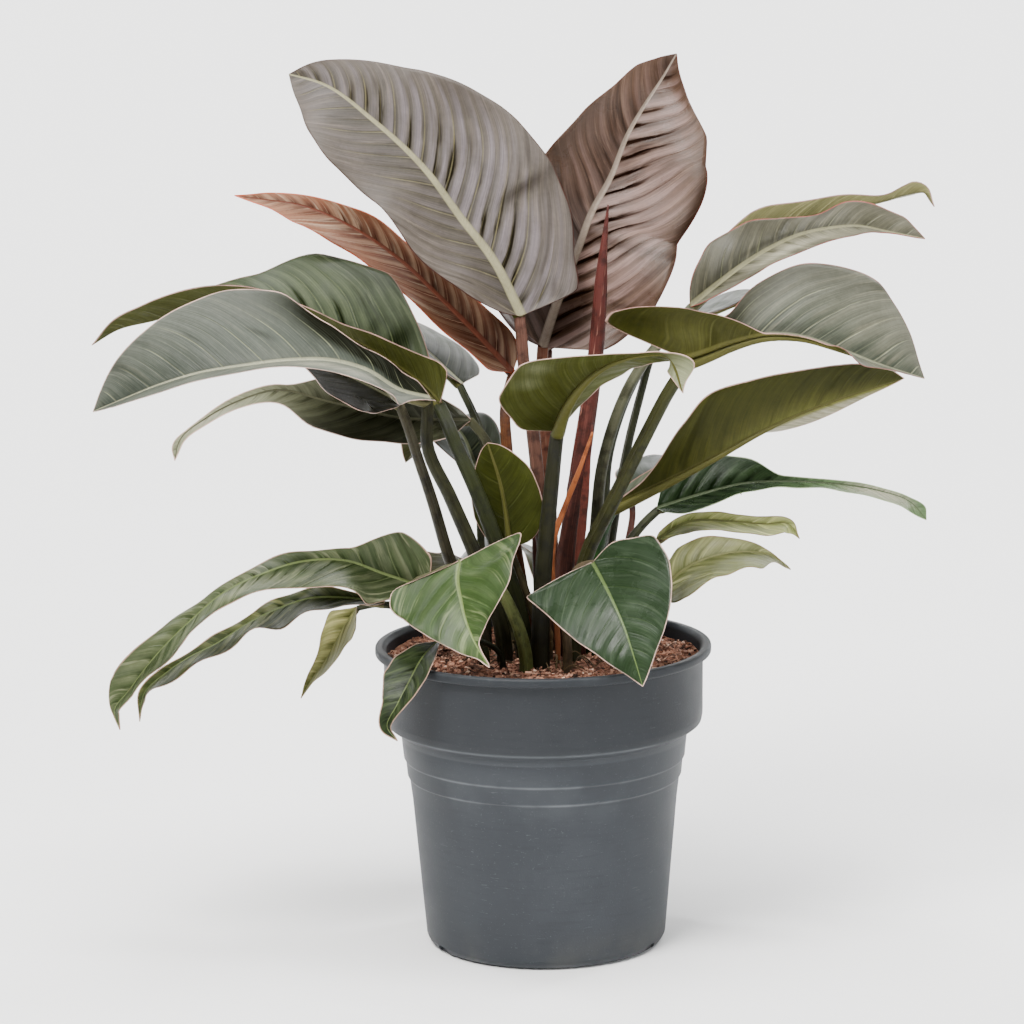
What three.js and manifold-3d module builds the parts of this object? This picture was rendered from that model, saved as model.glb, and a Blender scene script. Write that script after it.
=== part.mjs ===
// A potted imperial red philodendron in its nursery pot, in millimetres, +Z up.
// The origin is the middle of the pot's underside. +X is to the viewer's right and -Y towards the viewer.
import * as THREE from 'three';
import { mergeVertices } from 'three/addons/utils/BufferGeometryUtils.js';
import Module from 'manifold-3d';

const wasm = await Module();
wasm.setup();

// Driving dimensions
const gap = 0.3;
const pot = {
  wall: 1.6,
  sides: 30,
  // Half section as radius and height: up the outside from the underside's edge to the lip's top
  outside: [
    [70, 0], [73.6, 1.6], [75.4, 5], [76, 12], [83, 92], [84.8, 106.5], [86, 107.5], [87, 118], [88.2, 119],
    [89.5, 132], [91, 136.5], [96, 139.5], [98.6, 141.5], [99.5, 146], [99.8, 184.5], [104.2, 184.5],
    [105, 185.5], [105, 189], [104.2, 190],
  ],
  // and down the inside of the wall to the floor's edge
  inside: [
    [100.5, 190], [97.9, 187.5], [97.9, 146], [94.9, 141.5], [87.9, 137], [81.4, 92], [74.4, 12], [72.5, 4.6],
    [70, 1.6],
  ],
};
// Drain holes cut through the corner of the foot
const notch = { count: 3, width: 11, height: 5, depth: 9, radius: 72, firstTurn: -150 };
const soil = {
  top: 182,
  edgeDrop: 2,
  // Rings of the surface, and its lumps: height, length across and length along
  rings: [84, 62, 38, 16],
  lumps: { height: 1.2, across: 9, along: 7, fineHeight: 0.8, fineLength: 5 },
};
const rootDepth = 13;
const bladeThickness = 0.9;
const largeCells = { rows: 10, across: 3 };
const smallCells = { rows: 9, across: 2 };
const largeWidth = 40;
// Shares of the rib at which a leaf's half widths are given, and the widths at its two ends
const widthShares = [0.04, 0.12, 0.22, 0.34, 0.46, 0.58, 0.7, 0.81, 0.9, 0.96];
const endWidths = { base: 0.8, tip: 0.2 };
// The half width from which the ripple is full, and how far the right half's is behind the left one's
const ripple = { fullWidth: 16, halfShift: 1.3 };
// How quickly the backward sweep of the base dies out along the blade
const lobeFade = 5;
const stalkSides = 6;
// Height above the soil over which a stalk stays upright
const stalkStraight = 8;
// The rib below the blade's first part: shares of the length, loss of girth, and how far it is sunk
const keel = { shares: [0, 0.16, 0.34], taper: 1.7, sunk: 0.7, sides: 4 };
const stump = { at: [0, -10], radius: 6.5, top: 206, dome: [[8, 1], [2, 0.8], [0, 0.4]] };
const stemSides = 8;
const spike = {
  foot: [14, 1],
  rise: [[15, 2, 242], [24, 3, 299], [35, 6, 373], [40, 10, 434], [43, 12, 462]],
  radii: [6.8, 6.8, 6.4, 6, 5.4, 4.4, 0.6],
};
const driedSheath = {
  foot: [9, -19],
  rise: [[9, -11, 264], [14, -9, 277], [24, -9, 302], [32, -8, 324]],
  radii: [1.6, 1.8, 2, 1.8, 0.8],
  flatness: 0.4,
};
const redSheath = {
  foot: [23, -6],
  rise: [[23, -7, 244], [26, -7, 275], [30, -6, 313], [32, -5, 328]],
  radii: [3.4, 3.4, 3, 2.4, 0.6],
  flatness: 0.4,
};

// Each leaf from its foot in the soil to its tip. rib holds points on the midrib from blade base to tip,
// stalk those between the soil and the blade, and girth the stalk's radius at foot and top. face is the
// way the upper side looks. edge, fold and lobe are for the left and right half, seen from above with the
// tip away: half widths at widthShares of the rib, angle in degrees that the half is raised (a row of angles
// is spread evenly from base to tip), and how far the base is swept back. wave is the margin's ripple:
// height, count and start.
const leaves = {
  upperLeft: {
    rib: [[-11, 20, 393], [-29, 31, 428], [-47, 39, 451], [-71, 50, 483], [-102, 60, 512],
          [-134, 68, 535], [-155, 72, 541]],
    foot: [3, 14], girth: [5, 3.6],
    stalk: [[0, 12, 266], [-5, 14, 322], [-10, 17, 363]],
    face: [0.05, -1, 0.25], fold: [8, 22],
    edge: [[15.5, 32, 40.5, 46, 46, 47.5, 47.5, 40.5, 29, 15],
           [38.5, 47, 61, 66.5, 66, 57.5, 44, 31.5, 17.5, 8]],
    wave: [1.5, 3, 0], turn: [-25, -22], lobe: [0.1, 0.25],
  },
  upperRight: {
    rib: [[2, 45, 370], [10, 52, 393], [25, 61, 429], [34, 67, 452], [46, 72, 473],
          [58, 78, 501], [69, 82, 519], [80, 86, 535], [89, 88, 550]],
    foot: [9, 27], girth: [5, 3.6],
    stalk: [[6, 30, 250], [4, 36, 312], [1, 41, 343]],
    face: [0.2, -1, 0.3], fold: [25, 15],
    edge: [[20, 33.5, 42.5, 45.5, 46, 43.5, 33, 24, 19.5, 9.5],
           [41, 53.5, 62.5, 65, 62, 64, 58.5, 49, 21.5, 7]],
    wave: [2.5, 3, 1], turn: [15, 15],
  },
  upperBack: {
    rib: [[-17, 70, 351], [-39, 86, 373], [-63, 98, 396], [-88, 108, 419], [-120, 112, 441],
          [-152, 112, 455], [-176, 111, 459], [-194, 110, 462]],
    foot: [-10, 31], girth: [4.6, 3.2],
    stalk: [[-17, 36, 249], [-21, 46, 305], [-22, 54, 329]],
    face: [-0.1, -0.8, 0.7], fold: [25, 15],
    edge: [[14.5, 16, 18.5, 20, 23.5, 23, 26, 23, 8.5, 3.6],
           [13.5, 17.5, 16.5, 13, 12, 13.5, 10, 7.5, 5.5, 2.1]],
    wave: [2, 3, 0],
  },
  leftFront: {
    rib: [[-67, -14, 347], [-86, -26, 354], [-106, -35, 368], [-127, -42, 375], [-151, -46, 376],
          [-181, -47, 373], [-206, -46, 369], [-230, -44, 362], [-255, -40, 352], [-272, -38, 345]],
    foot: [-24, -12], girth: [5.4, 3.8],
    stalk: [[-41, -14, 248], [-56, -14, 285], [-70, -13, 319]],
    face: [0, -0.65, 0.76], fold: [[36, 38], [5, 38]],
    edge: [[13.5, 21, 51.5, 31, 20.5, 19.5, 21, 27.5, 22, 9],
           [12.5, 16, 16, 25.5, 45.5, 50, 43, 32.5, 21.5, 10]],
    wave: [1, 2.5, 0], lobe: [0.3, 0],
  },
  leftBack: {
    rib: [[-62, 16, 340], [-70, 24, 348], [-81, 30, 356], [-105, 39, 371], [-124, 44, 380],
          [-144, 48, 390], [-175, 51, 399], [-213, 51, 398], [-241, 50, 390], [-266, 47, 384],
          [-281, 44, 375]],
    foot: [-12, -2], girth: [5.8, 4.2],
    stalk: [[-29, -12, 258], [-40, -10, 288], [-54, 2, 319]],
    face: [0, -0.3, 0.95], fold: [[95, 78, 75, 70, 60], [25, 20, 20, 10, 0]],
    edge: [[23, 19.5, 12.5, 8.5, 9.5, 14.5, 15.5, 19, 12, 5],
           [3.6, 17, 36.5, 61.5, 57.5, 24.5, 18.5, 18.5, 10, 4.5]],
    wave: [1.5, 3, 2], lobe: [0.3, 0.3],
  },
  leftUnder: {
    rib: [[-86, 14, 340], [-105, 12, 351], [-127, 10, 362], [-148, 12, 371], [-172, 16, 378]],
    foot: [-37, 8], girth: [4.6, 3.2],
    stalk: [[-57, 10, 240], [-68, 13, 279], [-78, 14, 311]],
    face: [0, -0.5, 0.85], fold: [25, -10],
    edge: [[15, 31.5, 49, 66.5, 55, 26.5, 16, 10, 3.4, 1.2],
           [15.5, 23.5, 27.5, 29, 27.5, 24.5, 19.5, 14, 8, 3.7]],
    wave: [1.5, 2.5, 2],
  },
  leftDark: {
    rib: [[-44, 48, 324], [-89, 60, 324], [-133, 64, 334], [-168, 64, 342], [-190, 63, 336],
          [-212, 61, 325], [-229, 58, 311], [-232, 55, 299]],
    foot: [-20, 18], girth: [3.8, 2.8],
    stalk: [[-21, 28, 250], [-28, 38, 293], [-34, 45, 311]],
    face: [0, -0.75, 0.65], fold: [20, 20],
    edge: [[19, 24, 24.5, 31, 28, 14, 8, 6, 4.5, 2.7],
           [8, 16.5, 21, 20, 16.5, 4, 4, 2.5, 1.4, 3.6]],
    wave: [1.5, 2.5, 2],
  },
  centreSmall: {
    rib: [[-20, 2, 250], [-22, 3, 271], [-26, 4, 293], [-33, 5, 316]],
    foot: [0, 2], girth: [3.4, 2.4],
    stalk: [[-8, 1, 215], [-15, 3, 235]],
    face: [0.2, 1, -0.2], fold: [15, 15],
    edge: [[12, 18.5, 22, 24, 23.5, 22, 19, 14.5, 10, 5.5],
           [11, 16.5, 20, 22, 22, 20.5, 17.5, 13.5, 9, 5]],
    wave: [0, 3, 0],
  },
  centreUnder: {
    rib: [[9, -32, 329], [15, -47, 347], [26, -62, 364], [44, -80, 378], [61, -92, 383],
          [74, -100, 383], [83, -108, 362]],
    foot: [-2, -28], girth: [6.2, 4.2],
    stalk: [[1, -28, 248], [5, -29, 286], [8, -30, 314]],
    face: [-0.13, 0.5, 0.85], fold: [0, 5],
    edge: [[2.9, 8, 11.5, 13, 21, 18, 14, 16.5, 6.5, 2.3],
           [19, 30, 43.5, 44, 24, 12.5, 3.8, 3.6, 12, 4]],
    wave: [1.5, 2.5, 0], curl: [0, 10], lobe: [0.2, 0.6],
  },
  topRight: {
    rib: [[94, 28, 397], [113, 28, 412], [128, 28, 423], [144, 26, 433], [162, 25, 441],
          [181, 24, 445], [199, 23, 446], [214, 22, 443], [239, 20, 438]],
    foot: [24, 14], girth: [4.4, 3.2],
    stalk: [[33, 16, 252], [39, 18, 302], [56, 20, 349]],
    face: [0, -0.65, 0.76], fold: [20, 12],
    edge: [[8.5, 17, 25.5, 22.5, 14, 11, 15.5, 14.5, 12.5, 5.5],
           [5, 8.5, 11.5, 18, 16.5, 16, 14, 3.4, 1, 1]],
    wave: [2, 3, 0],
  },
  topRightBack: {
    rib: [[102, 54, 399], [116, 56, 421], [140, 58, 437], [165, 58, 447], [190, 57, 454],
          [215, 55, 458], [232, 52, 463], [242, 50, 464], [248, 48, 455]],
    foot: [25, 29], girth: [4.2, 3],
    stalk: [[38, 34, 248], [43, 40, 305], [63, 45, 355]],
    face: [0, 0.5, 0.85], fold: [20, 30],
    edge: [[9, 14.5, 17.5, 18.5, 18, 16, 13, 9.5, 5.5, 2.5],
           [1.9, 7, 16, 18, 15.5, 11.5, 8, 5, 8.5, 1.8]],
    wave: [1.5, 3, 0],
  },
  rightBig: {
    rib: [[88, -38, 373], [99, -42, 377], [114, -46, 383], [135, -48, 388], [156, -50, 387],
          [180, -49, 379], [205, -47, 369], [232, -44, 360]],
    foot: [18, -15], girth: [5.6, 4.2],
    stalk: [[28, -24, 253], [42, -32, 283], [60, -37, 320], [77, -38, 353]],
    face: [0, -0.45, 0.9], fold: [[10, 25, 30, 32, 34], [110, 100, 85, 20, 30]],
    edge: [[10.5, 16, 20, 39, 49.5, 53.5, 51.5, 42, 26.5, 11],
           [35, 43.5, 25, 1.4, 1, 1, 15.5, 11, 7, 3.1]],
    wave: [1, 2.5, 0], lobe: [0.3, 1.6],
  },
  rightUnder: {
    rib: [[43, -8, 277], [73, -14, 292], [105, -20, 309], [136, -22, 326], [158, -22, 336],
          [189, -19, 347], [223, -14, 356]],
    foot: [30, -3], girth: [4.2, 3.4],
    stalk: [[32, -5, 237], [38, -7, 262]],
    face: [0, 0.59, 0.81], fold: [[88, 84, 60, 0, -35, -40], 30],
    edge: [[8, 12, 14, 14.5, 14, 12.5, 10, 7.5, 4.5, 2.1],
           [2.7, 6.5, 17, 31, 39, 36, 29.5, 22.5, 17.5, 10]],
    wave: [1, 2.5, 0], lobe: [0, 0.3],
  },
  rightDark: {
    rib: [[72, 14, 272], [99, 10, 281], [127, 8, 288], [155, 7, 289], [186, 5, 287],
          [210, 3, 283], [229, 1, 276], [239, 0, 265]],
    foot: [38, 10], girth: [3.4, 2.8],
    stalk: [[44, 12, 235], [56, 13, 253]],
    face: [0, -0.6, 0.8], fold: [25, 25],
    edge: [[12.5, 19, 23, 17, 3.8, 2.9, 2.9, 2.5, 2.7, 5],
           [13.5, 23.5, 17.5, 17.5, 9, 9, 15, 12, 13.5, 7]],
    wave: [1, 3, 0],
  },
  rightPale: {
    rib: [[72, 22, 250], [93, 24, 261], [118, 24, 261], [140, 24, 259], [155, 23, 259],
          [162, 22, 250]],
    foot: [46, 4], girth: [2.8, 2.2],
    stalk: [[51, 10, 221], [61, 16, 239]],
    face: [0, -0.5, 0.85], fold: [25, 25],
    edge: [[3.6, 5, 6.5, 6, 6, 5.5, 5.5, 5, 3.6, 1.2],
           [6, 10, 18.5, 27.5, 23.5, 25, 27.5, 20.5, 13, 3.1]],
    wave: [1, 3, 0],
  },
  rightLow: {
    rib: [[76, -16, 229], [94, -20, 243], [119, -22, 250], [140, -22, 248], [153, -22, 239]],
    foot: [37, -14], girth: [3.2, 2.6],
    stalk: [[38, -15, 212], [55, -16, 224]],
    face: [0, -0.5, 0.85], fold: [25, 30],
    edge: [[11, 11.5, 16.5, 14, 12, 10, 6.5, 2.7, 1.2, 1],
           [23.5, 41, 63, 76, 57, 51, 47, 21, 7.5, 3.4]],
    wave: [1.5, 3, 0], lobe: [0.2, 0.2],
  },
  frontRight: {
    rib: [[30, -58, 252], [34, -68, 246], [41, -84, 234], [48, -97, 219], [53, -106, 204],
          [58, -112, 187]],
    foot: [14, -36], girth: [3.8, 3],
    stalk: [[14, -42, 226], [21, -50, 246]],
    face: [-0.25, -0.83, 0.4], fold: [8, 8],
    edge: [[15, 27.5, 41.5, 42.5, 39, 33, 24, 14.5, 8, 3.6],
           [45, 43, 40, 37, 33, 28.5, 21.5, 14.5, 7.5, 3.1]],
    wave: [1, 2, 0], lobe: [0.45, 0.05],
  },
  frontLeft: {
    rib: [[-51, -50, 252], [-52, -60, 243], [-50, -72, 233], [-47, -82, 222], [-42, -90, 211],
          [-33, -96, 196]],
    foot: [-11, -40], girth: [4.6, 3.2],
    stalk: [[-19, -44, 219], [-31, -48, 240]],
    face: [-0.36, -0.72, 0.44], fold: [5, 14],
    edge: [[9.5, 43, 46, 37.5, 32, 25, 11, 1.8, 1, 1],
           [23.5, 39.5, 43, 39, 34, 25.5, 17, 10, 3.6, 1.6]],
    wave: [1, 2, 0], lobe: [0.75, -0.55],
  },
  rimLeaf: {
    rib: [[-65, -52, 203], [-74, -66, 196], [-82, -80, 184], [-89, -88, 172], [-95, -91, 159],
          [-89, -90, 150]],
    foot: [-26, -34], girth: [2.4, 1.8],
    stalk: [[-39, -42, 201]],
    face: [-0.4, -0.6, 0.7], fold: [20, 20],
    edge: [[5, 8.5, 12, 15.5, 16.5, 14, 8.5, 5.5, 1.9, 1],
           [3.8, 9, 13, 15.5, 16.5, 13.5, 9.5, 6.5, 3.4, 1.4]],
    wave: [0.5, 3, 0],
  },
  lowLeftLong: {
    rib: [[-71, -22, 230], [-97, -27, 240], [-121, -33, 250], [-148, -40, 251], [-173, -44, 244],
          [-194, -44, 234], [-216, -44, 216], [-238, -42, 194], [-255, -38, 172], [-265, -37, 158],
          [-262, -36, 146]],
    foot: [-37, -20], girth: [3.8, 3],
    stalk: [[-50, -20, 214]],
    face: [-0.2, -0.55, 0.8], fold: [[25, 20, 10, 20], [50, 15, 10, 20]],
    edge: [[15, 33, 56.5, 41, 21.5, 11, 18.5, 11.5, 8, 3.6],
           [17, 28.5, 8.5, 9, 6.5, 6.5, 14, 13.5, 15, 1]],
    wave: [2, 5, 0], lobe: [0, 0.3],
  },
  lowLeftUnder: {
    rib: [[-98, -16, 220], [-122, -14, 223], [-144, -14, 223], [-163, -13, 217], [-182, -12, 208],
          [-204, -11, 194], [-220, -10, 186], [-236, -8, 175], [-249, -7, 163], [-253, -6, 144]],
    foot: [-46, -8], girth: [3.2, 2.4],
    stalk: [[-64, -12, 207], [-84, -15, 216]],
    face: [-0.2, -0.55, 0.8], fold: [[30, 15, 30], [20, 10, 10]],
    edge: [[10.5, 12.5, 24.5, 25.5, 12.5, 14.5, 13, 17, 7.5, 1],
           [2.3, 5.5, 7.5, 8.5, 5, 6.5, 4, 4.5, 4.5, 1.9]],
    wave: [2, 5, 0],
  },
  hanging: {
    rib: [[-117, 14, 211], [-127, 16, 195], [-137, 16, 177], [-146, 15, 165], [-153, 14, 153]],
    foot: [-48, 6], girth: [2.6, 1.8],
    stalk: [[-71, 10, 202], [-99, 13, 213]],
    face: [-0.6, -0.5, 0.6], fold: [20, 20],
    edge: [[29.5, 31, 27, 26.5, 23, 17.5, 12, 6, 2.9, 1.2],
           [3.3, 9.5, 17, 13, 11, 8.5, 5.5, 4, 2.5, 1]],
    wave: [0.5, 3, 0],
  },
  backHigh: {
    rib: [[6, 84, 363], [5, 112, 398], [1, 138, 438], [-5, 152, 476]],
    foot: [-1, 41], girth: [4.2, 3],
    stalk: [[-2, 52, 258], [3, 70, 320]],
    face: [0.1, -0.5, 0.9], fold: [20, 20],
    edge: [[21.5, 33, 39.5, 42, 41, 37, 31, 23, 14.5, 7],
           [22.5, 34.5, 41.5, 44, 43, 39, 32.5, 24, 15, 7.5]],
    wave: [2, 2.5, 0],
  },
  backRight: {
    rib: [[74, 70, 375], [112, 100, 385], [154, 122, 394], [197, 136, 386], [227, 142, 362]],
    foot: [36, 24], girth: [3.8, 2.8],
    stalk: [[44, 45, 246], [56, 58, 308], [68, 66, 352]],
    face: [0, 0.25, 1], fold: [8, 8],
    edge: [[22, 33.5, 40, 42, 40.5, 36.5, 29.5, 21.5, 13, 6],
           [21, 32, 38, 40, 38.5, 34.5, 28.5, 20.5, 12.5, 6]],
    wave: [2, 2.5, 0],
  },
  backLeft: {
    rib: [[-49, 64, 345], [-86, 100, 372], [-128, 124, 384], [-175, 138, 387], [-212, 146, 371]],
    foot: [-24, 31], girth: [3.8, 2.8],
    stalk: [[-26, 44, 247], [-34, 57, 303]],
    face: [0, 0.25, 1], fold: [8, 8],
    edge: [[22, 33.5, 40, 42, 40.5, 36.5, 29.5, 21.5, 13, 6],
           [22, 33.5, 40, 42, 40.5, 36.5, 29.5, 21.5, 13, 6]],
    wave: [2, 2.5, 0],
  },
  backTip: {
    rib: [[-40, 62, 289], [-52, 88, 311], [-70, 114, 311], [-88, 134, 283]],
    foot: [-35, 23], girth: [3, 2.2],
    stalk: [[-38, 40, 235], [-39, 54, 268]],
    face: [-0.1, 0.2, 1], fold: [10, 10],
    edge: [[12.5, 20, 24.5, 26, 25, 22.5, 18.5, 13, 7.5, 3.5],
           [12.5, 20, 24.5, 26, 25, 22.5, 18.5, 13, 7.5, 3.5]],
    wave: [2, 2.5, 0],
  },
  backThin: {
    rib: [[57, 58, 276], [77, 88, 285], [105, 116, 280], [133, 134, 259]],
    foot: [53, 14], girth: [2.6, 2],
    stalk: [[54, 28, 244], [58, 46, 264]],
    face: [0.1, 0.2, 1], fold: [10, 10],
    edge: [[11.5, 18.5, 22.5, 24, 23.5, 21, 17, 12, 7, 3.2],
           [12.5, 20, 24.5, 26, 25, 22.5, 18.5, 13, 7.5, 3.5]],
    wave: [2, 2.5, 0],
  },
  backDown: {
    rib: [[11, 66, 226], [14, 100, 226], [17, 132, 203], [19, 156, 158]],
    foot: [13, 43], girth: [3.2, 2.4],
    stalk: [[12, 50, 212]],
    face: [0, 0.5, 1], fold: [20, 20],
    edge: [[17.5, 25, 29, 30, 28.5, 25.5, 20.5, 14.5, 9, 4],
           [18.5, 27, 31, 32, 30.5, 27, 22, 15.5, 9.5, 4.5]],
    wave: [2, 2.5, 0],
  },
  backDownLeft: {
    rib: [[-32, 62, 223], [-51, 95, 225], [-70, 124, 203], [-82, 142, 162]],
    foot: [-15, 45], girth: [3, 2.4],
    stalk: [[-22, 52, 209]],
    face: [-0.3, 0.4, 1], fold: [25, 25],
    edge: [[14, 21, 25, 26, 25, 22, 17.5, 12.5, 7.5, 3.3],
           [15, 22.5, 26.5, 28, 27, 23.5, 19, 13.5, 8, 3.6]],
    wave: [2, 2.5, 0],
  },
  backDownRight: {
    rib: [[32, 56, 218], [48, 86, 220], [63, 112, 200], [69, 130, 163]],
    foot: [29, 43], girth: [3, 2.2],
    stalk: [[26, 50, 207]],
    face: [0.3, 0.4, 1], fold: [25, 25],
    edge: [[10.5, 16, 19, 20, 19, 17, 13.5, 9.5, 5.5, 2.6],
           [9.5, 14.5, 17, 18, 17, 15, 12.5, 8.5, 5, 2.3]],
    wave: [2, 2.5, 0],
  },
};

// Colours of the upper side, young bronze leaves first
const bronze = 0x7d5348;
const slate = 0x6d706a;
const green = 0x4d6350;
const darkGreen = 0x2f4738;
const olive = 0x5f6334;
const potGrey = 0x575d62;
const peat = 0x5b3f33;
const bark = 0x3a3326;
const redBrown = 0x74392f;
const driedOrange = 0xb4622f;
const leafColours = {
  upperLeft: slate, upperRight: bronze, upperBack: bronze,
  leftFront: slate, leftBack: green, leftUnder: darkGreen, leftDark: darkGreen,
  centreSmall: olive, centreUnder: olive,
  topRight: slate, topRightBack: olive, rightBig: slate, rightUnder: olive, rightDark: darkGreen,
};

const radians = THREE.MathUtils.degToRad;
const vector = (point) => new THREE.Vector3(...point);

// A closed body from its points and triangles, or from a three.js geometry
function solid(points, triangles) {
  const vertProperties = new Float32Array(points.flatMap((point) => point.toArray()));
  const triVerts = new Uint32Array(triangles);
  return new wasm.Manifold(new wasm.Mesh({ numProp: 3, vertProperties, triVerts }));
}

function solidOf(geometry) {
  const bare = geometry.clone();
  bare.deleteAttribute('normal');
  bare.deleteAttribute('uv');
  const merged = mergeVertices(bare, 1e-4);
  const position = merged.getAttribute('position');
  const points = [];
  for (let i = 0; i < position.count; i += 1) {
    points.push(new THREE.Vector3().fromBufferAttribute(position, i));
  }
  const triangles = [];
  for (let i = 0; i < merged.index.count; i += 3) {
    const [a, b, c] = [0, 1, 2].map((corner) => merged.index.getX(i + corner));
    if (a !== b && b !== c && c !== a) triangles.push(a, b, c);
  }
  return solid(points, triangles);
}

function geometryOf(body) {
  const mesh = body.getMesh();
  const geometry = new THREE.BufferGeometry();
  geometry.setAttribute('position', new THREE.BufferAttribute(new Float32Array(mesh.vertProperties), 3));
  geometry.setIndex(new THREE.BufferAttribute(new Uint32Array(mesh.triVerts), 1));
  geometry.computeVertexNormals();
  return geometry;
}

// Places and headings on a smooth path through the points, at the given shares of its length
function follow(points, shares) {
  const knots = [0];
  for (let i = 1; i < points.length; i += 1) knots.push(knots[i - 1] + points[i].distanceTo(points[i - 1]));
  const slopes = points.slice(1).map((point, i) => (
    point.clone().sub(points[i]).divideScalar(knots[i + 1] - knots[i])
  ));
  const tangents = points.map((point, i) => {
    if (i === 0) return slopes[0].clone();
    if (i === points.length - 1) return slopes[i - 1].clone();
    const before = knots[i] - knots[i - 1];
    const after = knots[i + 1] - knots[i];
    const blend = slopes[i - 1].clone().multiplyScalar(after).addScaledVector(slopes[i], before);
    return blend.divideScalar(before + after);
  });
  return shares.map((share) => {
    const distance = share * knots.at(-1);
    let i = 0;
    while (i < points.length - 2 && distance > knots[i + 1]) i += 1;
    const span = knots[i + 1] - knots[i];
    const s = (distance - knots[i]) / span;
    const at = points[i].clone().multiplyScalar(2 * s ** 3 - 3 * s ** 2 + 1)
      .addScaledVector(tangents[i], span * (s ** 3 - 2 * s ** 2 + s))
      .addScaledVector(points[i + 1], 3 * s ** 2 - 2 * s ** 3)
      .addScaledVector(tangents[i + 1], span * (s ** 3 - s ** 2));
    const along = points[i].clone().multiplyScalar((6 * s ** 2 - 6 * s) / span)
      .addScaledVector(tangents[i], 3 * s ** 2 - 4 * s + 1)
      .addScaledVector(points[i + 1], (6 * s - 6 * s ** 2) / span)
      .addScaledVector(tangents[i + 1], 3 * s ** 2 - 2 * s);
    return { at, along: along.normalize() };
  });
}

// The value at a share, on a smooth line through the values given at the knots that never overshoots them
function through(knots, values, share) {
  const slopes = values.slice(1).map((value, i) => (value - values[i]) / (knots[i + 1] - knots[i]));
  const slopeAt = (i) => {
    if (i === 0) return slopes[0];
    if (i === slopes.length) return slopes.at(-1);
    const [before, after] = [slopes[i - 1], slopes[i]];
    return before * after > 0 ? (2 * before * after) / (before + after) : 0;
  };
  let i = 0;
  while (i < knots.length - 2 && share > knots[i + 1]) i += 1;
  const span = knots[i + 1] - knots[i];
  const s = (share - knots[i]) / span;
  return values[i] * (2 * s ** 3 - 3 * s ** 2 + 1) + slopeAt(i) * span * (s ** 3 - 2 * s ** 2 + s)
    + values[i + 1] * (3 * s ** 2 - 2 * s ** 3) + slopeAt(i + 1) * span * (s ** 3 - s ** 2);
}

// One number, or a row of them spread evenly from the blade's base to its tip
function valueAt(value, t) {
  if (!Array.isArray(value)) return value;
  return through(value.map((_, i) => i / (value.length - 1)), value, t);
}

function halfWidth(leaf, half, t) {
  const widths = [endWidths.base, ...leaf.edge[half], endWidths.tip];
  return Math.max(through([0, ...widthShares, 1], widths, t), endWidths.tip);
}

// The midrib's places, headings and the way that the upper side looks there
function ribFrames(leaf, shares) {
  return follow(leaf.rib.map(vector), shares).map(({ at, along }, i) => {
    const face = vector(leaf.face).normalize();
    const flat = face.addScaledVector(along, -face.dot(along)).normalize();
    const side = new THREE.Vector3().crossVectors(flat, along);
    const turn = radians(valueAt(leaf.turn ?? 0, shares[i]));
    const up = flat.multiplyScalar(Math.cos(turn)).addScaledVector(side, Math.sin(turn));
    return { at, along, up, left: new THREE.Vector3().crossVectors(up, along) };
  });
}

// One row of the blade's upper side, from the left margin to the right one
function bladeRow(leaf, frame, t, across) {
  const row = Array(2 * across + 1);
  row[across] = frame.at.clone();
  const [waveHeight, waveCount, waveStart] = leaf.wave;
  [0, 1].forEach((half) => {
    const width = halfWidth(leaf, half, t);
    const outward = half === 0 ? 1 : -1;
    let aside = 0;
    let lift = 0;
    for (let j = 1; j <= across; j += 1) {
      const middle = (j - 0.5) / across;
      const angle = radians(valueAt(leaf.fold[half], t) + valueAt(leaf.curl?.[half] ?? 0, t) * middle);
      aside += (width / across) * Math.cos(angle);
      lift += (width / across) * Math.sin(angle);
      const s = j / across;
      const swell = Math.sin(2 * Math.PI * waveCount * t + waveStart + half * ripple.halfShift);
      const rise = waveHeight * s * s * swell * Math.min(1, width / ripple.fullWidth);
      const back = (leaf.lobe?.[half] ?? 0) * width * s * s * (1 - t) ** lobeFade;
      row[across - outward * j] = frame.at.clone()
        .addScaledVector(frame.left, outward * aside)
        .addScaledVector(frame.up, lift + rise)
        .addScaledVector(frame.along, -back);
    }
  });
  return row;
}

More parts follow.
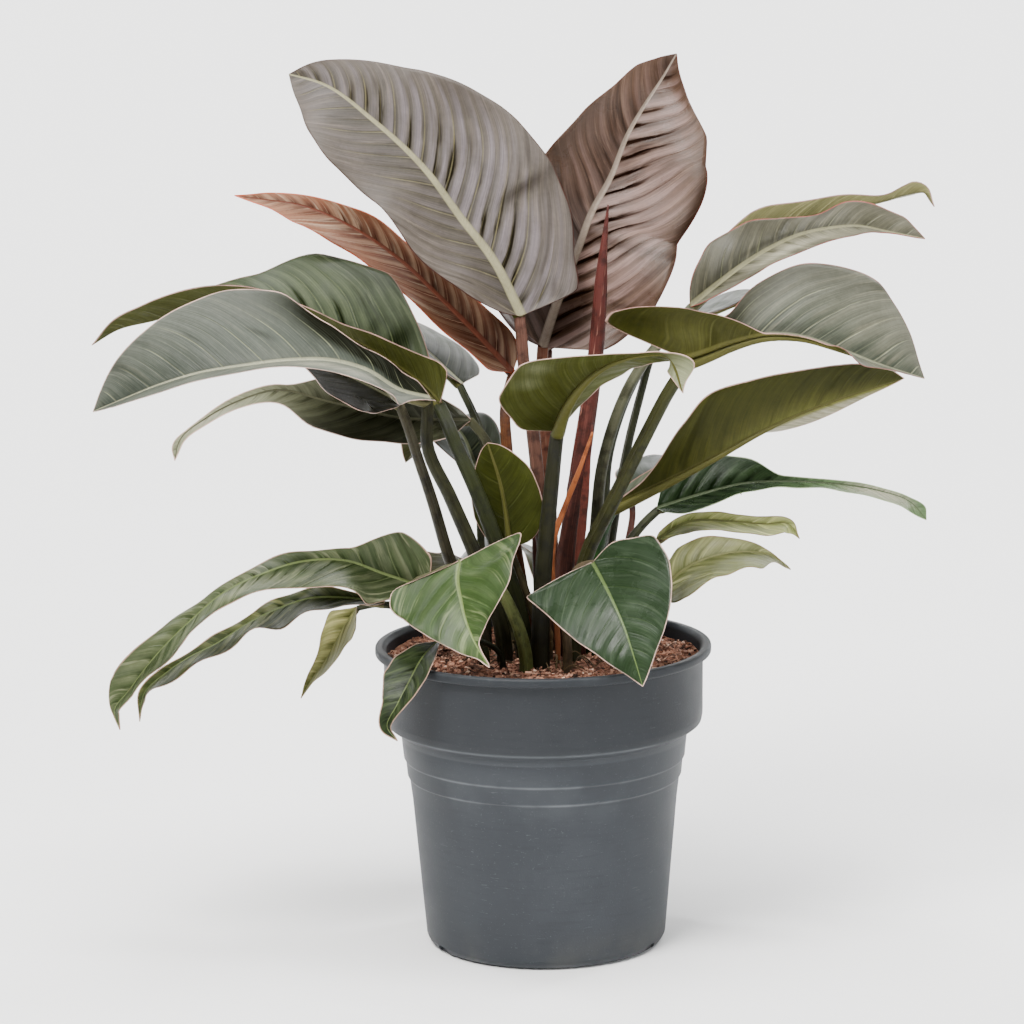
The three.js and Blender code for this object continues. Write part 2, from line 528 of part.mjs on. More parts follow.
// The blade as a thin closed body: rows across the rib, with one point at the base and one at the tip
function blade(leaf, { rows, across }) {
  const shares = Array.from({ length: rows + 1 }, (_, i) => (1 - Math.cos((Math.PI * i) / rows)) / 2);
  const frames = ribFrames(leaf, shares);
  const grid = frames.map((frame, i) => bladeRow(leaf, frame, shares[i], across));
  const columns = 2 * across + 1;
  const upper = [frames[0].at.clone()];
  const ups = [frames[0].up];
  for (let i = 1; i < rows; i += 1) {
    for (let j = 0; j < columns; j += 1) {
      const onward = grid[i + 1][j].clone().sub(grid[i - 1][j]);
      const sideways = grid[i][Math.min(j + 1, columns - 1)].clone().sub(grid[i][Math.max(j - 1, 0)]);
      upper.push(grid[i][j]);
      ups.push(sideways.cross(onward).normalize());
    }
  }
  upper.push(frames[rows].at.clone());
  ups.push(frames[rows].up);
  const lower = upper.map((point, i) => point.clone().addScaledVector(ups[i], -bladeThickness));
  const place = (i, j) => 1 + (i - 1) * columns + j;
  const tip = upper.length - 1;
  const faces = [];
  for (let j = 0; j < columns - 1; j += 1) {
    faces.push([0, place(1, j + 1), place(1, j)]);
    faces.push([place(rows - 1, j), place(rows - 1, j + 1), tip]);
    for (let i = 1; i < rows - 1; i += 1) {
      faces.push([place(i, j), place(i, j + 1), place(i + 1, j + 1)]);
      faces.push([place(i, j), place(i + 1, j + 1), place(i + 1, j)]);
    }
  }
  const edge = [0];
  for (let i = 1; i < rows; i += 1) edge.push(place(i, columns - 1));
  edge.push(tip);
  for (let i = rows - 1; i > 0; i -= 1) edge.push(place(i, 0));
  const under = upper.length;
  const triangles = faces.flatMap(([a, b, c]) => [a, b, c, under + a, under + c, under + b]);
  edge.forEach((a, i) => {
    const b = edge[(i + 1) % edge.length];
    triangles.push(b, a, under + a, b, under + a, under + b);
  });
  return solid([...upper, ...lower], triangles);
}

// A round bar with the given radius at each centre, closed at both ends
function bar(centres, radii, sides, flatness = 1) {
  const points = [];
  const triangles = [];
  let upright = new THREE.Vector3(1, 0, 0);
  centres.forEach((centre, i) => {
    const onward = centres[Math.min(i + 1, centres.length - 1)];
    const along = onward.clone().sub(centres[Math.max(i - 1, 0)]).normalize();
    upright = upright.clone().addScaledVector(along, -upright.dot(along)).normalize();
    const aside = new THREE.Vector3().crossVectors(along, upright);
    for (let k = 0; k < sides; k += 1) {
      const angle = (2 * Math.PI * k) / sides;
      points.push(centre.clone()
        .addScaledVector(upright, radii[i] * Math.cos(angle))
        .addScaledVector(aside, radii[i] * flatness * Math.sin(angle)));
    }
  });
  const last = (centres.length - 1) * sides;
  const [start, end] = [points.length, points.length + 1];
  points.push(centres[0].clone(), centres.at(-1).clone());
  for (let k = 0; k < sides; k += 1) {
    const next = (k + 1) % sides;
    triangles.push(start, next, k, end, last + k, last + next);
    for (let i = 0; i < last; i += sides) {
      triangles.push(i + k, i + next, i + sides + next, i + k, i + sides + next, i + sides + k);
    }
  }
  return solid(points, triangles);
}

const evenly = (count) => Array.from({ length: count + 1 }, (_, i) => i / count);
const mix = ([first, last], share) => first + (last - first) * share;

// The way of a stalk from its foot below the soil's surface to the base of the blade
function stalkWay(leaf, extra) {
  const [x, y] = leaf.foot;
  return [
    new THREE.Vector3(x, y, soil.top - rootDepth - extra),
    new THREE.Vector3(x, y, soil.top + stalkStraight),
    ...leaf.stalk.map(vector),
    vector(leaf.rib[0]),
  ];
}

function stalk(leaf, extra) {
  const shares = evenly(leaf.stalk.length + 4);
  const centres = follow(stalkWay(leaf, extra), shares).map(({ at }) => at);
  const foot = leaf.foot;
  centres[0].set(foot[0], foot[1], soil.top - rootDepth - extra);
  return bar(centres, shares.map((share) => mix(leaf.girth, share) + extra), stalkSides);
}

// The rib under the first part of the blade, which carries the stalk on
function keelBody(leaf) {
  const radii = keel.shares.map((share) => leaf.girth[1] * (1 - keel.taper * share));
  const frames = ribFrames(leaf, keel.shares);
  const centres = frames.map(({ at, up }, i) => at.addScaledVector(up, -keel.sunk * radii[i]));
  return bar(centres, radii, keel.sides);
}

function leafBody(leaf) {
  const cells = Math.max(...leaf.edge.flat()) > largeWidth ? largeCells : smallCells;
  return blade(leaf, cells).add(keelBody(leaf)).add(stalk(leaf, 0));
}

function turnedBody(section) {
  const points = section.map(([radius, height]) => new THREE.Vector2(radius, height));
  return new THREE.LatheGeometry(points, pot.sides).rotateX(Math.PI / 2);
}

// The pot is one wall thick, with a lip, a collar, two ridges below it and a rounded foot
function potBody() {
  let body = solidOf(turnedBody([[0, 0], ...pot.outside, ...pot.inside, [0, pot.wall]]));
  for (let i = 0; i < notch.count; i += 1) {
    const cutter = new THREE.BoxGeometry(notch.depth, notch.width, notch.height * 2);
    cutter.translate(notch.radius + notch.depth / 2, 0, 0);
    cutter.rotateZ(radians(notch.firstTurn + (360 * i) / notch.count));
    body = body.subtract(solidOf(cutter));
  }
  return body;
}

// Coarse potting soil up to just below the lip, with a plain hole for every stem that stands in it
function soilBody(stems) {
  const { rings, lumps } = soil;
  const wall = pot.inside.slice(2).reverse().map(([radius, height]) => [radius - gap, height + gap]);
  const edge = pot.inside[1][0] - gap;
  const section = [
    [0, pot.wall + gap], ...wall, [edge, soil.top - soil.edgeDrop],
    ...rings.map((radius) => [radius, soil.top]), [0, soil.top],
  ];
  const turned = turnedBody(section);
  const position = turned.getAttribute('position');
  for (let i = 0; i < position.count; i += 1) {
    const [x, y] = [position.getX(i), position.getY(i)];
    const coarse = lumps.height * Math.sin(x / lumps.across) * Math.cos(y / lumps.along);
    const fine = lumps.fineHeight * Math.sin((x + y) / lumps.fineLength);
    if (position.getZ(i) > soil.top - soil.edgeDrop / 2) position.setZ(i, soil.top + coarse + fine);
  }
  return stems.reduce((rest, stem) => rest.subtract(stem), solidOf(turned));
}

// The short stem that the leaves spring round, with a blunt top
function stumpBody(extra) {
  const [x, y] = stump.at;
  const dome = stump.dome.map(([below, share]) => [stump.top - below, share]);
  const rings = [[soil.top - rootDepth - extra, 1], ...dome];
  const centres = rings.map(([height]) => new THREE.Vector3(x, y, height));
  return bar(centres, rings.map(([, share]) => stump.radius * share + extra), stemSides);
}

// A stem that stands alone: the rolled new leaf, and two dried sheaths beside it
function loneStem({ foot, rise, radii, flatness }, extra) {
  const way = stalkWay({ foot, stalk: rise.slice(0, -1), rib: [rise.at(-1)] }, extra);
  const shares = evenly(radii.length * 2 - 2);
  const girths = shares.map((share) => {
    const i = Math.min(Math.floor(share * (radii.length - 1)), radii.length - 2);
    return mix([radii[i], radii[i + 1]], share * (radii.length - 1) - i);
  });
  const centres = follow(way, shares).map(({ at }) => at);
  return bar(centres, girths.map((girth) => girth + extra), stemSides, flatness);
}

const plant = new THREE.Group();

function addPart(name, body, colour, roughness) {
  const material = new THREE.MeshStandardMaterial({ color: colour, roughness, metalness: 0 });
  const mesh = new THREE.Mesh(geometryOf(body), material);
  mesh.name = name;
  plant.add(mesh);
}

const holes = [
  ...Object.values(leaves).map((leaf) => stalk(leaf, gap)),
  ...[spike, driedSheath, redSheath].map((stem) => loneStem(stem, gap)),
  stumpBody(gap),
];
addPart('pot', potBody(), potGrey, 0.5);
addPart('soil', soilBody(holes), peat, 0.95);
addPart('stump', stumpBody(0), bark, 0.8);
addPart('newLeafSpike', loneStem(spike, 0), redBrown, 0.4);
addPart('driedSheath', loneStem(driedSheath, 0), driedOrange, 0.7);
addPart('redSheath', loneStem(redSheath, 0), redBrown, 0.6);
Object.entries(leaves).forEach(([name, leaf]) => (
  addPart(`leaf_${name}`, leafBody(leaf), leafColours[name] ?? green, 0.4)
));

export default plant;
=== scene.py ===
# Potted imperial red philodendron: leaves, stems, soil and nursery pot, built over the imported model.
# Metres, +Z up, +X to the viewer's right, -Y towards the viewer. The dictionaries hold millimetres and degrees.
import math

import bpy
import numpy as np
from mathutils import Matrix, Vector


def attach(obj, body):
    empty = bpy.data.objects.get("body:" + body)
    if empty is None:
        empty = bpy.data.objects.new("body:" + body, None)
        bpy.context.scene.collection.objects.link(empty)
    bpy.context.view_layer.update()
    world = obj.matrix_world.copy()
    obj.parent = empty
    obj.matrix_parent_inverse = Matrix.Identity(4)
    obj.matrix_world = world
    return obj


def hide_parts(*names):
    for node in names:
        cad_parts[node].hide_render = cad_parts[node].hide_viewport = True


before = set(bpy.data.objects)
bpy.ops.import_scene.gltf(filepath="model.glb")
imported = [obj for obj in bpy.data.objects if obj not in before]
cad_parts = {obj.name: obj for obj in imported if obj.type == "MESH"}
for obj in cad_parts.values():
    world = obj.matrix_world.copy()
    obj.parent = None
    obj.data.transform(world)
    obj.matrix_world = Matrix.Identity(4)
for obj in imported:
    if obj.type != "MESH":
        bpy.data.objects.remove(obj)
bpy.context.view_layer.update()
mm = 0.001

print("camera")
view = {"at": (-18.4, -2200, 668.6), "pitch": 10.19, "roll": 0.71, "lens": 126.6, "sensor": 36}


def makeCamera():
    pitch, roll = math.radians(view["pitch"]), math.radians(view["roll"])
    ahead = Vector((0, math.cos(pitch), -math.sin(pitch)))
    level = Vector((1, 0, 0))
    above = level.cross(ahead)
    right = level * math.cos(roll) - above * math.sin(roll)
    up = above * math.cos(roll) + level * math.sin(roll)
    data = bpy.data.cameras.new("camera")
    data.lens, data.sensor_width = view["lens"], view["sensor"]
    data.clip_end = 100
    camera = bpy.data.objects.new("camera", data)
    camera.matrix_world = Matrix((right, up, -ahead)).transposed().to_4x4()
    camera.location = Vector(view["at"]) * mm
    bpy.context.scene.collection.objects.link(camera)
    bpy.context.scene.camera = camera


makeCamera()

print("light")
light = {
    "key": {"at": (-1000, -1500, 2400), "aim": (0, 0, 300), "size": 1400, "watts": 150, "tint": (1, 0.985, 0.96)},
    "fill": {"at": (1700, -1700, 900), "aim": (0, 0, 300), "size": 1600, "watts": 28, "tint": (0.96, 0.98, 1)},
    "top": {"at": (250, -150, 2700), "aim": (0, 0, 300), "size": 1500, "watts": 100, "tint": (1, 1, 1)},
    "leftWall": {"at": (-1900, 1500, 2300), "aim": (300, 3600, 900), "size": 900, "watts": 115, "tint": (1, 1, 1)},
    "rightWall": {"at": (1900, 1500, 2300), "aim": (-300, 3600, 900), "size": 900, "watts": 115, "tint": (1, 1, 1)},
}
sky = {"tone": 0.95, "strength": 0.3}


def makeLights():
    for name, each in light.items():
        data = bpy.data.lights.new(name + "Light", "AREA")
        data.shape, data.size = "DISK", each["size"] * mm
        data.energy, data.color = each["watts"], each["tint"]
        lamp = bpy.data.objects.new(name + "Light", data)
        lamp.location = Vector(each["at"]) * mm
        aim = Vector(each["aim"]) * mm - lamp.location
        lamp.rotation_euler = aim.to_track_quat("-Z", "Y").to_euler()
        bpy.context.scene.collection.objects.link(lamp)
    world = bpy.data.worlds.new("softRoom")
    world.use_nodes = True
    background = world.node_tree.nodes["Background"]
    background.inputs["Color"].default_value = (sky["tone"],) * 3 + (1,)
    background.inputs["Strength"].default_value = sky["strength"]
    bpy.context.scene.world = world


makeLights()


def newMaterial(name):
    made = bpy.data.materials.new(name)
    made.use_nodes = True
    tree = made.node_tree
    return made, Wiring(tree.nodes, tree.links), tree.nodes["Principled BSDF"].inputs


def colour(code, tone=(1, 1, 1)):
    # sRGB hex to linear, times the tone
    parts = [int(code[i:i + 2], 16) / 255 for i in (1, 3, 5)]
    linear = [c / 12.92 if c < 0.04045 else ((c + 0.055) / 1.055) ** 2.4 for c in parts]
    return tuple(min(1, c * t) for c, t in zip(linear, tone)) + (1,)


class Wiring:
    # short ways to add the nodes that every finish here uses
    def __init__(self, nodes, links):
        self.nodes, self.links = nodes, links

    def put(self, socket, value):
        if isinstance(value, bpy.types.NodeSocket):
            self.links.new(value, socket)
        else:
            socket.default_value = value

    def attribute(self, name):
        node = self.nodes.new("ShaderNodeAttribute")
        node.attribute_name = name
        return node.outputs["Fac"]

    def maths(self, kind, a, b=0.0, c=0.0):
        node = self.nodes.new("ShaderNodeMath")
        node.operation = kind
        for socket, value in zip(node.inputs, (a, b, c)):
            self.put(socket, value)
        return node.outputs[0]

    def times(self, first, *others):
        for each in others:
            first = self.maths("MULTIPLY", first, each)
        return first

    def plus(self, first, *others):
        for each in others:
            first = self.maths("ADD", first, each)
        return first

    def most(self, first, *others):
        for each in others:
            first = self.maths("MAXIMUM", first, each)
        return first

    def span(self, value, low, high, toLow=0.0, toHigh=1.0):
        node = self.nodes.new("ShaderNodeMapRange")
        node.interpolation_type = "SMOOTHSTEP"
        for socket, each in zip(node.inputs, (value, low, high, toLow, toHigh)):
            self.put(socket, each)
        return node.outputs[0]

    def mix(self, share, a, b, blend="MIX"):
        node = self.nodes.new("ShaderNodeMix")
        node.data_type, node.blend_type = "RGBA", blend
        self.put(node.inputs[0], share)
        self.put(node.inputs[6], a)
        self.put(node.inputs[7], b)
        return node.outputs[2]

    def vector(self, x, y, z):
        node = self.nodes.new("ShaderNodeCombineXYZ")
        for socket, value in zip(node.inputs, (x, y, z)):
            self.put(socket, value)
        return node.outputs[0]

    def place(self):
        return self.nodes.new("ShaderNodeTexCoord").outputs["Object"]

    def stretched(self, where, scale):
        node = self.nodes.new("ShaderNodeMapping")
        self.put(node.inputs["Scale"], scale)
        self.put(node.inputs["Vector"], where)
        return node.outputs[0]

    def height(self, where):
        node = self.nodes.new("ShaderNodeSeparateXYZ")
        self.put(node.inputs[0], where)
        return node.outputs[2]

    def darken(self, base, grey):
        return self.mix(1.0, base, self.vector(grey, grey, grey), "MULTIPLY")

    def noise(self, where, scale, detail=3.0, rough=0.5, twist=0.0):
        node = self.nodes.new("ShaderNodeTexNoise")
        self.put(node.inputs["Vector"], where)
        node.inputs["Scale"].default_value = scale
        node.inputs["Detail"].default_value = detail
        node.inputs["Roughness"].default_value = rough
        node.inputs["Distortion"].default_value = twist
        return node.outputs[0]

    def ramp(self, value, stops):
        node = self.nodes.new("ShaderNodeValToRGB")
        self.put(node.inputs[0], value)
        band = node.color_ramp.elements
        while len(band) < len(stops):
            band.new(0.5)
        for element, (place, code) in zip(band, stops):
            element.position, element.color = place, colour(code)
        return node.outputs[0]

    def bump(self, height, depth, strength=1.0):
        node = self.nodes.new("ShaderNodeBump")
        node.inputs["Strength"].default_value = strength
        node.inputs["Distance"].default_value = depth * mm
        self.put(node.inputs["Height"], height)
        return node.outputs[0]


print("floor and sweep")
sweep = {"half": 6000, "front": -6000, "flatTo": 1700, "radius": 2000, "high": 7000, "steps": 24,
         "tone": 0.9, "cloud": (0.985, 0.985, 0.98), "rough": 0.9, "specular": 0.1}


def makeSweep():
    # the floor runs on at the back in a curve into an upright wall
    turns = np.linspace(0, math.pi / 2, sweep["steps"])
    arc = [(sweep["flatTo"] + sweep["radius"] * math.sin(a), sweep["radius"] * (1 - math.cos(a))) for a in turns]
    way = [(sweep["front"], 0), *arc, (arc[-1][0], sweep["high"])]
    points = [(side * sweep["half"] * mm, y * mm, z * mm) for y, z in way for side in (-1, 1)]
    faces = [(2 * i, 2 * i + 1, 2 * i + 3, 2 * i + 2) for i in range(len(way) - 1)]
    mesh = bpy.data.meshes.new("sweep")
    mesh.from_pydata(points, [], faces)
    mesh.polygons.foreach_set("use_smooth", [True] * len(faces))
    made, w, shader = newMaterial("palePaper")
    tone, cooler = sweep["tone"], [sweep["tone"] * share for share in sweep["cloud"]]
    grey = w.mix(w.noise(w.place(), 3.0), (tone, tone, tone, 1), (*cooler, 1))
    w.put(shader["Base Color"], grey)
    w.put(shader["Roughness"], sweep["rough"])
    w.put(shader["Specular IOR Level"], sweep["specular"])
    mesh.materials.append(made)
    paper = bpy.data.objects.new("sweep", mesh)
    bpy.context.scene.collection.objects.link(paper)


makeSweep()


def makePiece(name, verts, faces, materials, marks, node, materialIndex=None):
    # verts in millimetres; marks are named numbers for each vertex, which the finishes read
    mesh = bpy.data.meshes.new(name)
    mesh.from_pydata((np.asarray(verts) * mm).tolist(), [], faces)
    for each in materials:
        mesh.materials.append(each)
    if materialIndex is not None:
        mesh.polygons.foreach_set("material_index", np.asarray(materialIndex, dtype=np.int32))
    mesh.polygons.foreach_set("use_smooth", [True] * len(mesh.polygons))
    for mark, values in marks.items():
        layer = mesh.attributes.new(mark, "FLOAT", "POINT")
        layer.data.foreach_set("value", np.asarray(values, dtype=np.float32))
    mesh.update()
    piece = bpy.data.objects.new(name, mesh)
    bpy.context.scene.collection.objects.link(piece)
    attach(piece, "root")
    if node:
        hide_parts(node)
    return piece


def easing(s):
    # weights of the start, the leaving slope, the end and the arriving slope, at share s of a step
    return 2 * s**3 - 3 * s**2 + 1, s**3 - 2 * s**2 + s, 3 * s**2 - 2 * s**3, s**3 - s**2


def follow(points, shares):
    # places and headings on a smooth path through the points, at shares of its length
    points, shares = np.array(points, float), np.asarray(shares, float)
    spans = np.linalg.norm(np.diff(points, axis=0), axis=1)
    knots = np.concatenate([[0], np.cumsum(spans)])
    slopes = np.diff(points, axis=0) / spans[:, None]
    tangents = np.empty_like(points)
    tangents[0], tangents[-1] = slopes[0], slopes[-1]
    before, after = spans[:-1, None], spans[1:, None]
    tangents[1:-1] = (slopes[:-1] * after + slopes[1:] * before) / (before + after)
    distance = shares * knots[-1]
    i = np.clip(np.searchsorted(knots, distance, side="left") - 1, 0, len(points) - 2)
    span = spans[i][:, None]
    s = (distance - knots[i])[:, None] / span
    a, b, c, d = easing(s)
    at = points[i] * a + tangents[i] * span * b + points[i + 1] * c + tangents[i + 1] * span * d
    heading = (points[i] * (6 * s**2 - 6 * s) / span + tangents[i] * (3 * s**2 - 4 * s + 1)
               + points[i + 1] * (6 * s - 6 * s**2) / span + tangents[i + 1] * (3 * s**2 - 2 * s))
    return at, unit(heading)


def unit(vectors):
    return vectors / np.maximum(np.linalg.norm(vectors, axis=-1, keepdims=True), 1e-9)


def dot(a, b):
    return (a * b).sum(axis=-1, keepdims=True)


def pathLength(points):
    return np.linalg.norm(np.diff(np.array(points, float), axis=0), axis=1).sum()


def through(knots, values, t):
    # the values at t on a smooth line through those given at the knots, which it never overshoots
    knots, values = np.asarray(knots, float), np.asarray(values, float)
    slopes = np.diff(values) / np.diff(knots)
    before, after = slopes[:-1], slopes[1:]
    both = np.where(before + after == 0, 1, before + after)
    lean = np.concatenate([slopes[:1], np.where(before * after > 0, 2 * before * after / both, 0), slopes[-1:]])
    i = np.clip(np.searchsorted(knots, t, side="left") - 1, 0, len(knots) - 2)
    span = knots[i + 1] - knots[i]
    a, b, c, d = easing((t - knots[i]) / span)
    return values[i] * a + lean[i] * span * b + values[i + 1] * c + lean[i + 1] * span * d


def valueAt(value, t):
    # one number, or a row of them spread evenly from the blade's base to its tip
    if not isinstance(value, (list, tuple)):
        return value + 0 * t
    return through(np.linspace(0, 1, len(value)), value, t)


def softNoise(rng, *axes, waves=5, low=0.5, high=1.5):
    # smooth wandering value between about -1 and 1 from a few sine waves with drawn headings
    total = 0.0
    for _ in range(waves):
        push = rng.normal(size=len(axes)) * rng.uniform(low, high)
        total = total + np.sin(sum(p * a for p, a in zip(push, axes)) + rng.uniform(0, 2 * math.pi))
    return total / waves ** 0.5


print("leaf finishes")
# Upper sides first, then undersides. near and far: colour at the rib and at the margin. Then a painted highlight on
# the swellings and painted shade in the creases along the side veins. streak: long pale bands, a painted satin sheen.
# vein, rib and
# rim: lines. The numbers are the shares of highlight, crease shade, streak and vein, and the roughness.
skinParts = ("near", "far", "highlight", "creaseShade", "streak", "vein", "rib", "rim")
skinRows = {
    "slate": ("#68645a #89827b #aba4ac #2f2b21 #b9aea6 #b3ae86 #8b8669 #3a1e18", 0.85, 0.95, 0.45, 0.6, 0.4),
    "bronze": ("#6a5045 #86706a #c8afbb #1d100b #cdb2b1 #38211a #85776a #4a1f18", 0.95, 1.0, 0.5, 0.45, 0.32),
    "copper": ("#5c2c20 #93503a #d99a7e #2d120c #e0ae96 #b57c66 #5f3528 #b04a2c", 0.6, 0.85, 0.5, 0.4, 0.38),
    "greyGreen": ("#5f665c #85877b #9c9d8f #25251b #b0ae9a #bfbf9b #94947b #b3978c", 0.55, 0.7, 0.45, 0.75, 0.38),
    "meadow": ("#56624a #6f7962 #a0a98f #242b1b #b4b9a2 #b0b992 #72795a #7d5a4e", 0.6, 0.9, 0.5, 0.7, 0.38),
    "sage": ("#5a6156 #85857b #a4a395 #24261c #b8b3a0 #bcbd9f #7c7d66 #7c5049", 0.7, 0.85, 0.5, 0.6, 0.38),
    "moss": ("#625d4c #8c8476 #b1a793 #2e291c #cfc1a6 #b5b290 #7a775c #7a4038", 0.65, 0.85, 0.5, 0.4, 0.4),
    "deep": ("#4f664a #4a6048 #8fa08e #22331d #9fae9c #6f8758 #5b6d3f #c3a497", 0.55, 0.75, 0.4, 0.4, 0.28),
    "fresh": ("#536a41 #526746 #97a58a #22311a #c2c8ab #93a57b #6c7b49 #bfa193", 0.65, 0.85, 0.6, 0.4, 0.36),
    "streaky": ("#505f38 #6a7456 #b0b195 #1b2212 #ddd8bc #9aa27c #606b42 #a08170", 0.85, 0.95, 0.75, 0.4, 0.38),
    "ink": ("#5c5c4b #6a6a58 #f2f1dc #211f15 #b3b49e #7c7c66 #4c4c3a #c3a497", 0.16, 0.85, 0.35, 0.4, 0.32),
    "bottle": ("#4a5c41 #53654a #f4f8e8 #1a2410 #c6cbb6 #6f805f #566048 #8d9c76", 0.2, 0.85, 0.4, 0.4, 0.27),
    "straw": ("#6a6d44 #91916f #bdb794 #313016 #e6dcb4 #aeb08a #6f7049 #7d6448", 0.8, 0.9, 0.75, 0.4, 0.42),
    "olive": ("#65632b #77753f #9a9663 #3a3917 #948f60 #9c9964 #4d4b26 #b8958a", 0.5, 0.6, 0.35, 0.45, 0.42),
    "litOlive": ("#65632b #77753f #fff6dc #3a3917 #b9b48c #9c9964 #4d4b26 #b8958a", 0.1, 0.6, 0.2, 0.4, 0.38),
    "paleOlive": ("#6b6647 #88825f #b0a581 #413e29 #c9ba8e #a9a47e #5d5a3f #a3807a", 0.6, 0.65, 0.5, 0.45, 0.46),
    "rust": ("#5b2a20 #6d3629 #935f4d #34140f #9a6e5c #8e5546 #4c251c #a37c6a", 0.5, 0.5, 0.4, 0.5, 0.42),
}
ribWidths = {"upperLeft": 1, "upperRight": 0.95, "frontRight": 0.4, "frontLeft": 0.5, "lowLeftLong": 0.45,
             "lowLeftUnder": 0.45, "rimLeaf": 0.4, "hanging": 0.4, "rightDark": 0.5, "leftDark": 0.5, "leftBack": 0.5}
ribBand = {"base": 3.6, "tip": 0.5, "power": 0.8, "usualGirth": 3.6}   # half width of the pale midrib, mm
veinGap = 12.0   # mm between side veins on the rib
usualRibWidth = 0.7
leafGloss = {"upper": 0.15, "under": 0.08}
glareColour = "#938f7d"   # painted highlight, where the light lies on a folded margin


def leafSkin(name, row, tone, gloss):
    made, w, shader = newMaterial(name)
    codes, highlightShare, creaseShadeShare, streakShare, veinShare, rough = row
    codes = dict(zip(skinParts, codes.split()))
    shade = {part: colour(code, tone) for part, code in codes.items()}
    shade["rim"], shade["rib"] = colour(codes["rim"]), colour(codes["rib"])
    vein, ribMm, rimMm, aside = [w.attribute(mark) for mark in ("vein", "ribDistance", "rimDistance", "aside")]
    ribShare, seed, lightAndShade, comb = [w.attribute(mark) for mark in ("ribShare", "seed", "lightAndShade", "comb")]
    offset = w.times(seed, 7.3)
    # noise stretched along the side veins: broad bands, narrow ones and hair-fine lines
    broad = w.noise(w.vector(vein, w.times(ribMm, 0.03), offset), 0.8, 2.0, 0.5, 0.4)
    narrow = w.noise(w.vector(vein, w.times(ribMm, 0.014), offset), 2.7, 3.0, 0.6, 0.2)
    hair = w.noise(w.vector(w.times(vein, 14.0), w.times(ribMm, 0.05), offset), 1.0, 2.0)
    mottle = w.noise(w.place(), 55.0, 4.0, 0.6)
    speck = w.noise(w.place(), 420.0, 2.0)
    base = w.mix(w.span(aside, 0.0, 1.0), shade["near"], shade["far"])
    # between two side veins the blade swells, and its light is painted in: a sharp dark crease of painted shade, then
    # a painted highlight on the slope that dies out
    wobble = w.times(w.maths("SUBTRACT", narrow, 0.5), 0.7)
    phase = w.maths("FRACT", w.plus(vein, wobble))
    swell = w.times(w.span(phase, 0.06, 0.3), w.span(phase, 0.85, 0.4))
    swell = w.times(swell, w.span(broad, 0.36, 0.58, 0.1, highlightShare), comb)
    # the light patches add painted highlight
    lit = w.plus(w.times(swell, w.span(aside, 1.05, 0.6)), w.most(lightAndShade, 0.0))
    lit = w.times(lit, w.span(narrow, 0.25, 0.55, 0.55, 1.0))
    base = w.mix(w.maths("MINIMUM", lit, 1.0), base, shade["highlight"])
    # long pale bands of painted satin sheen
    bands = w.times(w.span(narrow, 0.5, 0.68), w.span(broad, 0.62, 0.42, 0.2, 1.0))
    base = w.mix(w.times(bands, streakShare), base, shade["streak"])
    # painted shade in the crease beside each side vein
    fold = w.most(w.span(phase, 0.16, 0.0), w.span(phase, 0.68, 0.94))
    reach = w.span(w.plus(aside, w.times(broad, 0.9)), 1.15, 0.55)
    dark = w.times(fold, reach, w.span(broad, 0.62, 0.45, 0.15, 1.0))
    dark = w.times(dark, comb, creaseShadeShare)
    # the dark patches add painted shadow
    dark = w.most(dark, w.times(w.span(broad, 0.42, 0.3), 0.4), w.times(lightAndShade, -1.0))
    dark = w.times(dark, w.span(hair, 0.2, 0.6, 0.75, 1.0))
    base = w.mix(dark, base, shade["creaseShade"])
    # where a patch is above 1 a pale painted highlight covers the blade, whatever the leaf's tone
    pale = w.times(w.span(lightAndShade, 1.0, 2.0), w.span(narrow, 0.3, 0.6, 0.55, 1.0), w.span(hair, 0.3, 0.7, 0.7, 1.0))
    base = w.mix(pale, base, colour(glareColour))
    # side veins: every second one is the stronger, and all fade out before the margin
    fade = w.times(w.span(aside, 0.95, 0.4), w.span(mottle, 0.3, 0.6, 0.4, 1.0))
    strong = w.span(w.maths("PINGPONG", w.times(vein, 0.5), 0.5), 0.012, 0.034, 1.0, 0.0)
    weak = w.span(w.maths("PINGPONG", vein, 0.5), 0.015, 0.05, 0.35, 0.0)
    fine = w.span(w.maths("PINGPONG", w.times(vein, 5.0), 0.5), 0.03, 0.2, 0.14, 0.0)
    lines = w.times(w.most(strong, weak, fine), fade)
    base = w.mix(w.times(lines, veinShare), base, shade["vein"])
    # the pale midrib, darker towards its sides with painted crease shade, and the thin rim
    ribTone = w.mix(w.span(hair, 0.3, 0.7, 0.0, 0.4), shade["rib"], shade["near"])
    ribTone = w.mix(w.span(ribShare, 0.55, 0.95, 0.0, 0.35), ribTone, shade["creaseShade"])
    base = w.mix(w.span(ribShare, 0.85, 1.1, 1.0, 0.0), base, ribTone)
    atRim = w.times(w.span(rimMm, 0.25, 0.85, 1.0, 0.0), w.span(mottle, 0.3, 0.55, 0.5, 1.0))
    base = w.mix(atRim, base, shade["rim"])
    grain = w.plus(w.span(mottle, 0.25, 0.75, 0.88, 1.1), w.span(speck, 0.3, 0.7, -0.04, 0.04))
    w.put(shader["Base Color"], w.darken(base, w.times(grain, w.span(hair, 0.25, 0.75, 0.84, 1.16))))
    w.put(shader["Roughness"], w.span(mottle, 0.3, 0.7, rough - 0.06, rough + 0.1))
    height = w.plus(w.times(hair, 0.25), w.times(narrow, 0.5))
    height = w.maths("SUBTRACT", height, w.times(lines, 0.5))
    w.put(shader["Normal"], w.bump(height, 0.55, 0.7))
    w.put(shader["Specular IOR Level"], w.span(dark, 0.1, 0.8, gloss, 0.0))   # no gloss down in the creases
    return made


# colours at the foot and the top, of the streaks, of dark spots and of the edges
stalkSkins = {
    "greenStalk": "#3d4227 #4f5738 #6e7450 #23260f #a0a078",
    "greyStalk": "#3c3a30 #56544a #78766a #24221b #a19c88",
    "redStalk": "#5b2f27 #7b4436 #a5705c #32150f #4a211a",
    "freshStalk": "#4d5a26 #7d8a50 #98a366 #2e3613 #b2b283",
}


